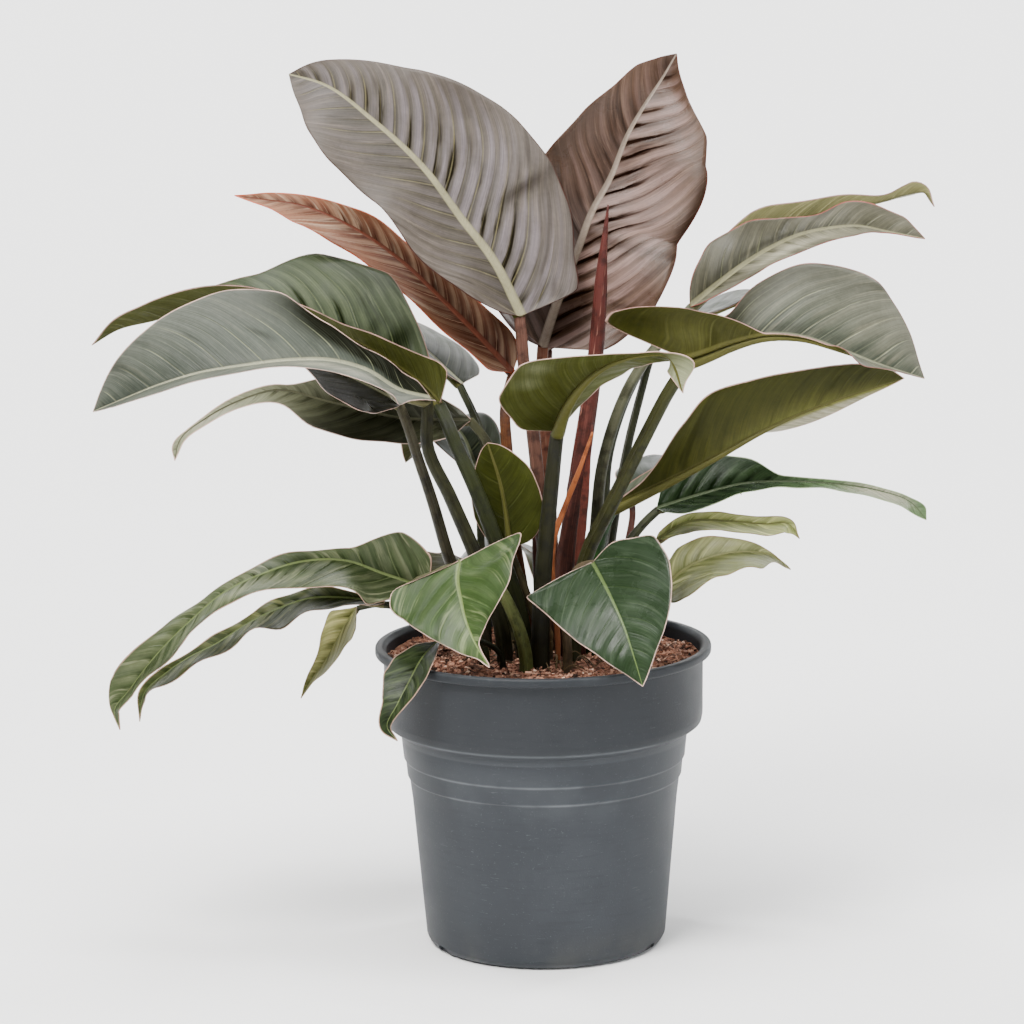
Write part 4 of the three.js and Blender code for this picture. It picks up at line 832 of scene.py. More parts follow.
                 [22.5, 34.5, 41.5, 44, 43, 39, 32.5, 24, 15, 7.5]],
        "wave": [2, 2.5, 0],
    },
    "backRight": {
        "rib": [[74, 70, 375], [112, 100, 385], [154, 122, 394], [197, 136, 386], [227, 142, 362]],
        "foot": [36, 24], "girth": [3.8, 2.8],
        "stalk": [[44, 45, 246], [56, 58, 308], [68, 66, 352]],
        "face": [0, 0.25, 1], "fold": [8, 8],
        "edge": [[22, 33.5, 40, 42, 40.5, 36.5, 29.5, 21.5, 13, 6],
                 [21, 32, 38, 40, 38.5, 34.5, 28.5, 20.5, 12.5, 6]],
        "wave": [2, 2.5, 0],
    },
    "backLeft": {
        "rib": [[-49, 64, 345], [-86, 100, 372], [-128, 124, 384], [-175, 138, 387], [-212, 146, 371]],
        "foot": [-24, 31], "girth": [3.8, 2.8],
        "stalk": [[-26, 44, 247], [-34, 57, 303]],
        "face": [0, 0.25, 1], "fold": [8, 8],
        "edge": [[22, 33.5, 40, 42, 40.5, 36.5, 29.5, 21.5, 13, 6],
                 [22, 33.5, 40, 42, 40.5, 36.5, 29.5, 21.5, 13, 6]],
        "wave": [2, 2.5, 0],
    },
    "backTip": {
        "rib": [[-40, 62, 289], [-52, 88, 311], [-70, 114, 311], [-88, 134, 283]],
        "foot": [-35, 23], "girth": [3, 2.2],
        "stalk": [[-38, 40, 235], [-39, 54, 268]],
        "face": [-0.1, 0.2, 1], "fold": [10, 10],
        "edge": [[12.5, 20, 24.5, 26, 25, 22.5, 18.5, 13, 7.5, 3.5],
                 [12.5, 20, 24.5, 26, 25, 22.5, 18.5, 13, 7.5, 3.5]],
        "wave": [2, 2.5, 0],
    },
    "backThin": {
        "rib": [[57, 58, 276], [77, 88, 285], [105, 116, 280], [133, 134, 259]],
        "foot": [53, 14], "girth": [2.6, 2],
        "stalk": [[54, 28, 244], [58, 46, 264]],
        "face": [0.1, 0.2, 1], "fold": [10, 10],
        "edge": [[11.5, 18.5, 22.5, 24, 23.5, 21, 17, 12, 7, 3.2],
                 [12.5, 20, 24.5, 26, 25, 22.5, 18.5, 13, 7.5, 3.5]],
        "wave": [2, 2.5, 0],
    },
    "backDown": {
        "rib": [[11, 66, 226], [14, 100, 226], [17, 132, 203], [19, 156, 158]],
        "foot": [13, 43], "girth": [3.2, 2.4],
        "stalk": [[12, 50, 212]],
        "face": [0, 0.5, 1], "fold": [20, 20],
        "edge": [[17.5, 25, 29, 30, 28.5, 25.5, 20.5, 14.5, 9, 4],
                 [18.5, 27, 31, 32, 30.5, 27, 22, 15.5, 9.5, 4.5]],
        "wave": [2, 2.5, 0],
    },
    "backDownLeft": {
        "rib": [[-32, 62, 223], [-51, 95, 225], [-70, 124, 203], [-82, 142, 162]],
        "foot": [-15, 45], "girth": [3, 2.4],
        "stalk": [[-22, 52, 209]],
        "face": [-0.3, 0.4, 1], "fold": [25, 25],
        "edge": [[14, 21, 25, 26, 25, 22, 17.5, 12.5, 7.5, 3.3],
                 [15, 22.5, 26.5, 28, 27, 23.5, 19, 13.5, 8, 3.6]],
        "wave": [2, 2.5, 0],
    },
    "backDownRight": {
        "rib": [[32, 56, 218], [48, 86, 220], [63, 112, 200], [69, 130, 163]],
        "foot": [29, 43], "girth": [3, 2.2],
        "stalk": [[26, 50, 207]],
        "face": [0.3, 0.4, 1], "fold": [25, 25],
        "edge": [[10.5, 16, 19, 20, 19, 17, 13.5, 9.5, 5.5, 2.6],
                 [9.5, 14.5, 17, 18, 17, 15, 12.5, 8.5, 5, 2.3]],
        "wave": [2, 2.5, 0],
    },
}


def ribFrames(leaf, t):
    at, along = follow(leaf["rib"], t)
    face = unit(np.array(leaf["face"], float))
    flat = unit(face - dot(face, along) * along)
    side = np.cross(flat, along)
    turn = np.radians(valueAt(leaf.get("turn", 0), t))[:, None]
    up = flat * np.cos(turn) + side * np.sin(turn)
    return at, along, up, np.cross(up, along)


def halfWidth(leaf, half, t):
    widths = [leafMake["baseWidth"], *leaf["edge"][half], leafMake["tipWidth"]]
    return np.maximum(through([0, *leafMake["widthShares"], 1], widths, t), leafMake["tipWidth"])


def bladeHalf(leaf, half, t, s, frill, rng):
    # the upper side of one half: rows down the rib, columns from the rib out to the margin
    at, along, up, left = ribFrames(leaf, t)
    width = halfWidth(leaf, half, t)[:, None]
    fold = np.radians(valueAt(leaf["fold"][half], t))[:, None]
    curl = np.radians(valueAt(leaf["curl"][half] if "curl" in leaf else 0, t))[:, None] + 1e-6   # never quite 0
    s = s[None, :]
    aside = width * (np.sin(fold + curl * s) - np.sin(fold)) / curl
    lift = width * (np.cos(fold) - np.cos(fold + curl * s)) / curl
    high, count, start = leaf["wave"]
    swell = np.sin(2 * math.pi * count * t + start + half * leafMake["waveShift"])[:, None]
    bodyShare = np.minimum(1, width / leafMake["waveFull"])
    lift = lift + high * s**2 * swell * bodyShare
    lengthwise, crosswise = leafMake["crinkle"]
    crinkle = softNoise(rng, lengthwise * t[:, None] + 0 * s, crosswise * s, waves=6)
    lift = lift + frill * s**3 * crinkle * bodyShare
    back = (leaf["lobe"][half] if "lobe" in leaf else 0) * width * s**2 * ((1 - t) ** leafMake["lobeFade"])[:, None]
    outward = 1 if half == 0 else -1
    place = (at[:, None] + left[:, None] * (outward * aside)[..., None]
             + up[:, None] * lift[..., None] - along[:, None] * back[..., None])
    return place, width * s + 0 * place[..., 0], width * (1 - s) + 0 * place[..., 0]


def gridFaces(first, rows, columns, flip=False):
    i, j = np.meshgrid(np.arange(rows - 1), np.arange(columns - 1), indexing="ij")
    a = (first + i * columns + j).ravel()
    quads = np.stack([a, a + 1, a + columns + 1, a + columns], axis=1)
    return quads[:, ::-1] if flip else quads


def tube(centres, normals, radii, sides, section=None):
    # rings of points round a path; section gives each ring's form as x and y for a radius of one
    heading = unit(np.gradient(centres, axis=0))
    normals = unit(normals - dot(normals, heading) * heading)
    across = np.cross(normals, heading)
    angle = np.linspace(0, 2 * math.pi, sides, endpoint=False)
    x, y = np.cos(angle)[None, :], np.sin(angle)[None, :]
    if section is not None:
        x, y = section(x, y)
    radii = np.asarray(radii, float)[:, None]
    rings = (centres[:, None] + across[:, None] * (x * radii)[..., None] + normals[:, None] * (y * radii)[..., None])
    return rings.reshape(-1, 3)


def tubeFaces(first, rings, sides):
    faces = []
    for i in range(rings - 1):
        for k in range(sides):
            n = (k + 1) % sides
            a, b = first + i * sides, first + (i + 1) * sides
            faces.append((a + k, a + n, b + n, b + k))
    faces.append(tuple(first + k for k in reversed(range(sides))))
    faces.append(tuple(first + (rings - 1) * sides + k for k in range(sides)))
    return faces


def carried(normal, headings):
    # a normal that is carried back along a path from its end without twisting
    normals = [normal]
    for heading in headings[::-1][1:]:
        last = normals[-1]
        normals.append(unit(last - (last * heading).sum() * heading))
    return np.array(normals[::-1])


def channelled(x, y):
    # the stalk's section, flattened and slightly hollow on top
    return x, np.minimum(y, stalkMake["channel"] + stalkMake["channelRise"] * x**2)


def stalkWay(foot, middle, end):
    x, y = foot
    return [[x, y, soil["top"] - soil["rootDepth"]], [x, y, soil["top"] + soil["straight"]], *middle, end]


def patchwork(places, t, s):
    total = 0 * t
    for shareT, shareS, reachT, reachS, amount in places:
        total = total + amount * np.exp(-((t - shareT) / reachT) ** 2 - ((s - shareS) / reachS) ** 2)
    return np.clip(total, -1, 2)


def bothHalves(left, right):
    return np.concatenate([left[:, ::-1], right[:, 1:]], axis=1)


def gridNormals(place):
    return unit(np.cross(np.gradient(place, axis=1), np.gradient(place, axis=0)))


def rimFaces(rows, columns, size):
    # the narrow faces that join the upper side to the underside all round
    top = list(range(1, columns - 1))
    right = [i * columns + columns - 1 for i in range(rows)]
    bottom = [(rows - 1) * columns + j for j in range(columns - 2, -1, -1)]
    left = [i * columns for i in range(rows - 2, -1, -1)]
    edge = right + bottom + left + top
    return [(b, a, size + a, size + b) for a, b in zip(edge, edge[1:] + edge[:1])]


def stalkBody(leaf):
    # the stalk comes up from the soil and runs on below the blade as the raised midrib
    make = stalkMake
    foot, top = leaf["girth"]
    shares = np.linspace(0, 1, make["steps"])
    centres, headings = follow(stalkWay(leaf["foot"], leaf["stalk"], leaf["rib"][0]), shares)
    radii = foot + (top - foot) * shares
    _, _, ups, _ = ribFrames(leaf, np.array([0.0, 0.02]))
    normals = carried(ups[0], headings)
    sunk = make["sunk"] * np.clip((shares - make["sinkFrom"]) / (1 - make["sinkFrom"]), 0, 1) ** 2
    centres = centres - normals * (sunk * radii)[:, None]
    ribShares = np.concatenate([make["keelStart"], np.linspace(*make["keelRun"], make["keelSteps"])])
    at, _, ups, _ = ribFrames(leaf, ribShares)
    ribRadii = top * (1 - ribShares) ** make["keelPower"] * (1 - make["keelTaper"] * ribShares)
    ribRadii = np.maximum(ribRadii, make["keelLeast"])
    centres = np.concatenate([centres, at - ups * (make["keelSunk"] * ribRadii)[:, None]])
    normals, radii = np.concatenate([normals, ups]), np.concatenate([radii, ribRadii])
    points = tube(centres, normals, radii, make["sides"], channelled)
    angle = np.linspace(0, 2 * math.pi, make["sides"], endpoint=False)
    ring, angles = np.meshgrid(np.arange(len(centres)), angle, indexing="ij")
    shoulders = [np.exp(-(away / make["shoulderWidth"]) ** 2)
                 for away in (angles - make["shoulder"], angles - math.pi + make["shoulder"])]
    edge = np.maximum(*shoulders).ravel() * (ring.ravel() < make["steps"])
    return points, len(centres), np.clip(ring / make["steps"], 0, 1).ravel(), edge, np.abs(angles - math.pi).ravel()


def makeLeaf(name, leaf, seed):
    upper, under, stalk, pleat, frill = dress[name]
    rng = np.random.default_rng(seed)
    make = leafMake
    widest = max(max(row) for row in leaf["edge"])
    small = widest < make["smallBelow"]
    rows, across = (make["smallRows"], make["smallAcross"]) if small else (make["rows"], make["across"])
    even = np.linspace(0, 1, rows + 1)
    t = make["evenRows"] * even + (1 - make["evenRows"]) * (1 - np.cos(math.pi * even)) / 2
    s = np.linspace(0, 1, across + 1) ** make["columnPower"]
    left = bladeHalf(leaf, 0, t, s, frill, rng)
    right = bladeHalf(leaf, 1, t, s, frill, rng)
    place, ribMm, rimMm = [bothHalves(*pair) for pair in zip(left, right)]
    rows, columns = ribMm.shape
    aside = np.concatenate([s[::-1], s[1:]])[None, :] + 0 * ribMm
    along = t[:, None] + 0 * ribMm
    sign = np.where(np.arange(columns) < across, -1, 1)[None, :]
    # side veins leave the midrib more steeply in a slender blade
    lengthwise, crosswise = make["wanderWaves"]
    wander = softNoise(rng, lengthwise * along, crosswise * aside * sign, waves=4)
    length = pathLength(leaf["rib"])
    slant = make["slant"] * max(1, length / (2 * widest) / make["slimFrom"]) ** make["slimPower"]
    vein = max(make["fewestVeins"], round(length / veinGap)) * along
    vein = vein - slant * ribMm / veinGap * (1 + make["bend"] * aside**2) + make["wander"] * wander
    vein = vein + 0.5 * (sign > 0)
    # the blade swells between the side veins, which lie in its creases
    middle = np.clip(4 * aside * (make["swellFrom"] - aside**2), 0, 1)
    middle = middle * np.clip(ribMm / make["ribSide"], 0, 1) * np.clip(rimMm / make["rimSide"], 0, 1)
    vary = make["swellShare"] + make["swellVaries"] * softNoise(rng, make["swellWaves"] * vein, aside, waves=3)
    swelling = pleat * (np.abs(np.sin(math.pi * vein)) - 0.5) * middle * vary
    normal = gridNormals(place)
    place = place + normal * swelling[..., None]
    # the midrib lies in a slight channel on the upper side
    widestBand = ribBand["base"] * leaf["girth"][1] / ribBand["usualGirth"]
    band = ribBand["tip"] + (widestBand - ribBand["tip"]) * (1 - along) ** ribBand["power"]
    ribShare = ribMm / (band * ribWidths.get(name, usualRibWidth))
    furrow = make["furrow"] * np.clip(make["furrowReach"] - ribShare, 0, 1) * (1 - along)
    place = place - normal * furrow[..., None]
    thick = make["rimThick"] + (make["thick"] - make["rimThick"]) * np.clip(rimMm / make["rimReach"], 0, 1)
    lower = place - gridNormals(place) * thick[..., None]
    stalkPoints, rings, alongStalk, shoulder, turn = stalkBody(leaf)
    # numbers that the finishes read, for the upper side, the underside and the stalk
    size, onStalk = rows * columns, len(stalkPoints)

    def marked(top, bottom, stalkValues=0.0):
        return np.concatenate([top.ravel(), bottom.ravel(), np.zeros(onStalk) + stalkValues])

    combs = np.where(sign < 0, *ribbed.get(name, usualRibbing)) * (1 - (1 - make["tipComb"]) * along**2)
    zero = np.zeros(size)
    marks = {
        "vein": marked(vein, vein, alongStalk * stalkMake["keelVeins"]),
        "ribDistance": marked(ribMm, ribMm),
        "rimDistance": marked(rimMm, rimMm, stalkMake["awayFromRim"]),
        "aside": marked(aside, aside),
        "ribShare": marked(ribShare, ribShare),
        "lightAndShade": marked(patchwork(lightAndShadePatches.get(name, []), along, aside * sign),
                        patchwork(underLightAndShade.get(name, []), along, aside * sign)),
        "comb": marked(combs, make["underComb"] * combs),
        "along": marked(zero, zero, alongStalk),
        "edge": marked(zero, zero, shoulder),
        "turn": marked(zero, zero, turn),
        "seed": np.full(2 * size + onStalk, float(seed)),
    }
    # materials: 0 upper side and rim, 1 underside and keel, 2 stalk
    rim = rimFaces(rows, columns, size)
    stalkFaces = tubeFaces(2 * size, rings, stalkMake["sides"])
    belowKeel = (stalkMake["steps"] - 1) * stalkMake["sides"]
    upperFaces, lowerFaces = gridFaces(0, rows, columns), gridFaces(size, rows, columns, flip=True)
    faces = [*upperFaces.tolist(), *lowerFaces.tolist(), *rim, *stalkFaces]
    cells = (rows - 1) * (columns - 1)
    index = [0] * cells + [1] * cells + [0] * len(rim) + [2] * belowKeel + [1] * (len(stalkFaces) - belowKeel)
    tone = {**(backTones if name.startswith("back") else usualTones), **tones.get(name, {})}
    finishes = [leafSkin(name + "Top", skinRows[upper], tone["upper"], leafGloss["upper"]),
                leafSkin(name + "Under", skinRows[under], tone["under"], leafGloss["under"]),
                stalkSkin(name + "Stalk", stalkSkins[stalk], tone["stalk"])]
    points = np.concatenate([place.reshape(-1, 3), lower.reshape(-1, 3), stalkPoints])
    makePiece(name, points, faces, finishes, marks, "leaf_" + name, index)


for number, (name, leaf) in enumerate(leaves.items()):
    makeLeaf(name, leaf, firstSeed + number)

print("pot")
pot = {
    "sides": 180, "corner": 0.9, "cornerSteps": 4, "wall": 1.6,
    "outside": [
        [70, 0], [73.6, 1.6], [75.4, 5], [76, 12], [83, 92], [84.8, 106.5], [86, 107.5], [87, 118], [88.2, 119],
        [89.5, 132], [91, 136.5], [96, 139.5], [98.6, 141.5], [99.5, 146], [99.8, 184.5], [104.2, 184.5],
        [105, 185.5], [105, 189], [104.2, 190],
    ],
    "inside": [
        [100.5, 190], [97.9, 187.5], [97.9, 146], [94.9, 141.5], [87.9, 137], [81.4, 92], [74.4, 12], [72.5, 4.6],
        [70, 1.6],
    ],
    "shade": "#2e3135", "cloud": "#35383c", "ring": "#222528", "scuff": "#63676b", "footTint": "#44433f",
    # heights of the edges that are painted paler, how far the pale bands reach and the radius that they start at
    "ridges": [106.9, 118.5, 134, 140.5, 189.4], "ridgeReach": 0.9, "ridgeFrom": 84,
    "foot": 1.2, "footReach": 1.5, "footFrom": 71, "hardEdge": 50,
    "collarShadow": 0.64,   # the collar and the rim are darker: painted shadow of the leaves above
}
notch = {"count": 3, "width": 11, "height": 5, "depth": 9, "radius": 72, "firstTurn": -150, "corner": 2,
         "cornerSteps": 5}   # the drain notches in the foot


def roundedSection(points, corner, steps):
    # every corner of the half section becomes a short curve
    points = [np.array(p, float) for p in points]
    out = [points[0]]
    for before, here, after in zip(points, points[1:], points[2:]):
        a, b = before - here, after - here
        la, lb = np.linalg.norm(a), np.linalg.norm(b)
        start, end = here + a / la * min(corner, 0.45 * la), here + b / lb * min(corner, 0.45 * lb)
        for u in np.linspace(0, 1, steps):
            out.append(start * (1 - u)**2 + here * 2 * u * (1 - u) + end * u**2)
    return np.array(out + [points[-1]])


def turned(section, sides):
    # a closed body turned round Z; the section starts and ends on the axis
    rings = np.array(section)[1:-1]
    angle = np.linspace(0, 2 * math.pi, sides, endpoint=False)
    x = rings[:, 0][:, None] * np.cos(angle)
    y = rings[:, 0][:, None] * np.sin(angle)
    z = rings[:, 1][:, None] + 0 * angle
    points = np.stack([x, y, z], axis=-1).reshape(-1, 3)
    low, high = [0, 0, section[0][1]], [0, 0, section[-1][1]]
    points = np.concatenate([points, [low, high]])
    count = len(rings)
    faces = []
    for i in range(count - 1):
        for k in range(sides):
            n = (k + 1) % sides
            faces.append((i * sides + k, i * sides + n, (i + 1) * sides + n, (i + 1) * sides + k))
    base, top = count * sides, count * sides + 1
    for k in range(sides):
        n = (k + 1) % sides
        faces.append((base, n, k))
        faces.append((top, (count - 1) * sides + k, (count - 1) * sides + n))
    return points, faces


def potFinish():
    made, w, shader = newMaterial("nurseryPlastic")
    place, ridgePale = w.place(), w.attribute("ridgePale")
    stretched = w.stretched(place, (9, 9, 90))
    rings = w.noise(stretched, 5.0, 3.0)
    cloud = w.noise(place, 14.0, 4.0, 0.6)
    speck = w.noise(place, 900.0, 2.0)
    scratch = w.noise(stretched, 16.0, 2.0, 0.5, 0.8)
    height = w.height(place)
    scuff = colour(pot["scuff"])
    base = w.mix(w.span(cloud, 0.35, 0.7), colour(pot["shade"]), colour(pot["cloud"]))
    base = w.mix(w.span(rings, 0.5, 0.75, 0.0, 0.16), base, colour(pot["ring"]))
    # the ridge edges and the foot edge are painted paler
    base = w.mix(w.times(ridgePale, w.span(cloud, 0.42, 0.62, 0.1, 0.8)), base, scuff)
    base = w.mix(w.span(scratch, 0.69, 0.75, 0.0, 0.3), base, scuff)
    base = w.mix(w.span(speck, 0.67, 0.73, 0.0, 0.2), base, scuff)
    # paler in patches towards the foot
    paleFoot = w.times(w.span(height, 0.03, 0.0), w.span(cloud, 0.45, 0.6), 0.4)
    base = w.mix(paleFoot, base, colour(pot["footTint"]))
    # painted shadow of the leaves darkens the collar and the rim
    w.put(shader["Base Color"], w.darken(base, w.span(height, 0.13, 0.145, 1.0, pot["collarShadow"])))
    w.put(shader["Roughness"], w.span(cloud, 0.3, 0.7, 0.46, 0.6))
    w.put(shader["Normal"], w.bump(w.plus(speck, w.times(rings, 0.3)), 0.12, 0.5))
    w.put(shader["Specular IOR Level"], 0.16)
    return made


def notchCutters():
    # a block with rounded edges for each drain notch
    cutters = []
    for i in range(notch["count"]):
        turn = math.radians(notch["firstTurn"] + 360 * i / notch["count"])
        c = notch["corner"]
        outline = []
        for cornerY, cornerZ, start in ((1, 1, 0), (-1, 1, 90), (-1, -1, 180), (1, -1, 270)):
            for step in range(notch["cornerSteps"]):
                a = math.radians(start + 90 * step / (notch["cornerSteps"] - 1))
                outline.append((cornerY * (notch["width"] / 2 - c) + c * math.cos(a),
                                cornerZ * (notch["height"] - c) + c * math.sin(a)))
        points = []
        for r in (notch["radius"], notch["radius"] + notch["depth"]):
            for y, z in outline:
                points.append((r * math.cos(turn) - y * math.sin(turn), r * math.sin(turn) + y * math.cos(turn), z))
        n = len(outline)
        faces = [(k, (k + 1) % n, n + (k + 1) % n, n + k) for k in range(n)]
        faces += [tuple(reversed(range(n))), tuple(range(n, 2 * n))]
        mesh = bpy.data.meshes.new("notchCutter")
        mesh.from_pydata((np.array(points) * mm).tolist(), [], faces)
        cutter = bpy.data.objects.new("notchCutter", mesh)
        bpy.context.scene.collection.objects.link(cutter)
        cutters.append(cutter)
    return cutters


def makePot():
    section = [[0, 0], *pot["outside"], *pot["inside"], [0, pot["wall"]]]
    section = roundedSection(section, pot["corner"], pot["cornerSteps"])
    points, faces = turned(section, pot["sides"])
    radius, z = np.linalg.norm(points[:, :2], axis=1), points[:, 2]
    ridgePale = np.zeros(len(points))
    for ridge in pot["ridges"]:
        ridgePale = np.maximum(ridgePale, np.exp(-((z - ridge) / pot["ridgeReach"]) ** 2) * (radius > pot["ridgeFrom"]))
    ridgePale = np.maximum(ridgePale, np.exp(-((z - pot["foot"]) / pot["footReach"]) ** 2) * (radius > pot["footFrom"]))
    piece = makePiece("potShell", points, faces, [potFinish()], {"ridgePale": ridgePale}, "pot")
    for cutter in notchCutters():
        cut = piece.modifiers.new("notch", "BOOLEAN")
        cut.object, cut.operation, cut.solver = cutter, "DIFFERENCE", "EXACT"
        bpy.context.view_layer.update()
        evaluated = piece.evaluated_get(bpy.context.evaluated_depsgraph_get())
        result = bpy.data.meshes.new_from_object(evaluated)
        piece.modifiers.clear()
        piece.data = result
        bpy.data.objects.remove(cutter)
    piece.data.polygons.foreach_set("use_smooth", [True] * len(piece.data.polygons))
    piece.data.set_sharp_from_angle(angle=math.radians(pot["hardEdge"]))


makePot()

print("soil")
bed = {
    "radius": 97.3, "middle": 1.2, "rings": 70, "sides": 220, "seed": 5,
    "under": [[0, 1.9], [69.7, 1.9], [74.1, 12.3], [81.1, 92.3], [87.6, 137.3], [94.6, 141.8], [97.6, 146.3]],
    "lump": 0.95, "lumpLength": 16, "grain": 0.7, "grainLength": 4.2, "sunk": 0.6,
    "shade": 0.42, "shadeVaries": 0.15, "shadeLength": 3, "hardEdge": 40,
    "colours": [(0.18, "#1a120e"), (0.42, "#553a2e"), (0.6, "#9c6d58"), (0.78, "#c89a82"), (0.98, "#ebcab3")],
    "damp": "#2c201a",
}
# chips of coir and bark: length, width and thickness as shares of it, how crooked and how steep they lie, and how far
# above or below the bed
chips = {"count": 5200, "reach": 95.5, "smallest": 1.0, "largest": 5.2, "width": (0.35, 0.8), "thick": (0.12, 0.35),
         "thinnest": 0.35, "crooked": (0.6, 1.0), "tip": 0.45, "roll": 0.4, "above": (-0.2, 0.9), "sunk": 0.4,
         "finePower": 3, "fromWall": 0.2, "shade": (0.5, 0.24), "lightest": 1.1}


def soilHeight(x, y):
    rng = np.random.default_rng(bed["seed"])
    lumps = softNoise(rng, x / bed["lumpLength"], y / bed["lumpLength"], waves=7) * bed["lump"]
    return lumps + softNoise(rng, x / bed["grainLength"], y / bed["grainLength"], waves=9) * bed["grain"]


def soilFinish():
    made, w, shader = newMaterial("peatAndCoir")
    place, tone = w.place(), w.attribute("tone")
    grain = w.noise(place, 520.0, 5.0, 0.7)
    base = w.ramp(w.plus(w.times(tone, 0.75), w.times(grain, 0.4)), bed["colours"])
    base = w.mix(w.span(w.noise(place, 60.0, 3.0), 0.5, 0.3, 0.0, 0.5), base, colour(bed["damp"]))
    w.put(shader["Base Color"], base)
    w.put(shader["Roughness"], 0.92)
    w.put(shader["Specular IOR Level"], 0.2)
    w.put(shader["Normal"], w.bump(grain, 0.8, 0.9))
    return made


def makeSoil():
    rng = np.random.default_rng(bed["seed"])
    radii = np.linspace(bed["radius"], bed["middle"], bed["rings"])
    section = [*bed["under"], *[[r, soil["top"]] for r in radii], [0, soil["top"]]]
    points, faces = turned(np.array(section), bed["sides"])
    top = points[:, 2] > soil["top"] - 1
    points[:, 2] += np.where(top, soilHeight(points[:, 0], points[:, 1]) - bed["sunk"], 0)
    cloudy = softNoise(rng, points[:, 0] / bed["shadeLength"], points[:, 1] / bed["shadeLength"], waves=6)
    shades = [bed["shade"] + bed["shadeVaries"] * cloudy]
    allPoints, first = [points], len(points)
    # chips lie on it at all angles
    corners = np.array([(x, y, z) for z in (-1, 1) for y in (-1, 1) for x in (-1, 1)], float)
    chipFaces = [(0, 2, 3, 1), (4, 5, 7, 6), (0, 1, 5, 4), (2, 6, 7, 3), (0, 4, 6, 2), (1, 3, 7, 5)]
    for _ in range(chips["count"]):
        r = math.sqrt(rng.uniform(0, 1)) * chips["reach"]
        a = rng.uniform(0, 2 * math.pi)
        long = chips["smallest"] + (chips["largest"] - chips["smallest"]) * rng.uniform() ** chips["finePower"]
        width = long * rng.uniform(*chips["width"])
        form = np.array([long, width, max(chips["thinnest"], long * rng.uniform(*chips["thick"]))]) / 2
        chip = corners * form * rng.uniform(*chips["crooked"], size=(8, 3))
        yaw, tip = rng.uniform(0, 2 * math.pi), rng.normal() * chips["tip"]
        turn = Matrix.Rotation(yaw, 3, "Z") @ Matrix.Rotation(tip, 3, "X")
        turn = turn @ Matrix.Rotation(rng.normal() * chips["roll"], 3, "Y")
        chip = chip @ np.array(turn).T
        x, y = r * math.cos(a), r * math.sin(a)
        if np.linalg.norm(chip[:, :2] + [x, y], axis=1).max() > bed["radius"] - chips["fromWall"]:
            continue
        z = soil["top"] - chips["sunk"] + rng.uniform(*chips["above"])
        allPoints.append(chip + [x, y, z + float(soilHeight(x, y))])
        faces += [tuple(first + c for c in face) for face in chipFaces]
        shades.append(np.full(8, np.clip(rng.normal(*chips["shade"]), 0, chips["lightest"])))
        first += 8
    piece = makePiece("soilBed", np.concatenate(allPoints), faces, [soilFinish()], {"tone": np.concatenate(shades)},
                      "soil")
    piece.data.set_sharp_from_angle(angle=math.radians(bed["hardEdge"]))


makeSoil()

print("new leaf, sheaths and stump")
spike = {
    "foot": (14, 1), "middle": [[15, 2, 242], [24, 3, 299], [35, 6, 373], [40, 10, 434]], "end": [43, 12, 462],
    "radii": [6.8, 6.8, 6.4, 6, 5.4, 4.4, 0.5], "steps": 90, "sides": 30, "rowPower": 0.9,
    "lap": 0.16, "lapEdge": 0.035, "lapFrom": 0.2, "lapOver": 0.12, "tipOver": 0.05, "turns": 0.8, "start": -2.2,
    "seed": 3,
}
driedSheath = {
    "foot": (9, -19), "middle": [[9, -11, 264], [14, -9, 277], [24, -9, 302]], "end": [32, -8, 324],
    "radii": [1.6, 1.8, 2, 1.8, 0.8], "steps": 60, "sides": 14, "flat": 0.35, "seed": 21,
}
redSheath = {
    "foot": (23, -6), "middle": [[23, -7, 244], [26, -7, 275], [30, -6, 313]], "end": [32, -5, 328],
    "radii": [3.4, 3.4, 3, 2.4, 0.5], "steps": 60, "sides": 16, "flat": 0.4, "seed": 23,
}
# both are thin strips, hollow along the middle, and a little uneven
strip = {"rough": 0.08, "roughWaves": 22, "marginThick": 0.5, "hollow": 0.35, "raised": 0.15, "edgePower": 8}
stump = {"at": (0, -10), "radius": 6.4, "low": 169, "top": 206, "steps": 46, "sides": 36,
         "scars": 6, "scarLow": 0.94, "scarHigh": 0.06, "scarWidth": 0.25,
         "domeTop": 1.02, "domeOver": 0.22, "domeLeast": 0.02,
         "rough": 0.035, "roughAcross": 2.5, "roughAlong": 2, "seed": 41, "barkSeed": 9}
# colours at the foot and the top, of the streaks, of dark spots and of the edges
stemSkins = {
    "newLeafSkin": "#351b12 #4b201b #6d3c33 #1b0805 #8f6053",
    "redSheathSkin": "#3a1d14 #5f2a20 #774235 #200d07 #85543f",
    "driedSkin": "#5f341b #98532b #b27a50 #633118 #b88e6d",
    "barkSkin": "#2b2318 #57472f #7d6a48 #15100a #8b7a58",
}
stemFinish = {name: stalkSkin(name, codes) for name, codes in stemSkins.items()}


def stemMarks(count, sides, edges, seed):
    ring, angles = np.meshgrid(np.arange(count), np.linspace(0, 2 * math.pi, sides, endpoint=False), indexing="ij")
    return {"along": (ring / (count - 1)).ravel(), "edge": edges, "turn": np.abs(angles - math.pi).ravel(),
            "seed": np.full(count * sides, float(seed))}


def stemPath(stem, shares):
    # places, normals and radii of a stem from the soil to its end
    centres, headings = follow(stalkWay(stem["foot"], stem["middle"], stem["end"]), shares)
    radii = np.interp(shares, np.linspace(0, 1, len(stem["radii"])), stem["radii"])
    angle = np.linspace(0, 2 * math.pi, stem["sides"], endpoint=False)[None, :]
    return centres, carried(np.array([0.0, -1.0, 0.1]), headings), radii, angle


def makeStem(name, node, skin, points, steps, sides, edges, seed):
    makePiece(name, points.reshape(-1, 3), tubeFaces(0, steps, sides), [stemFinish[skin]],
              stemMarks(steps, sides, edges.ravel(), seed), node)


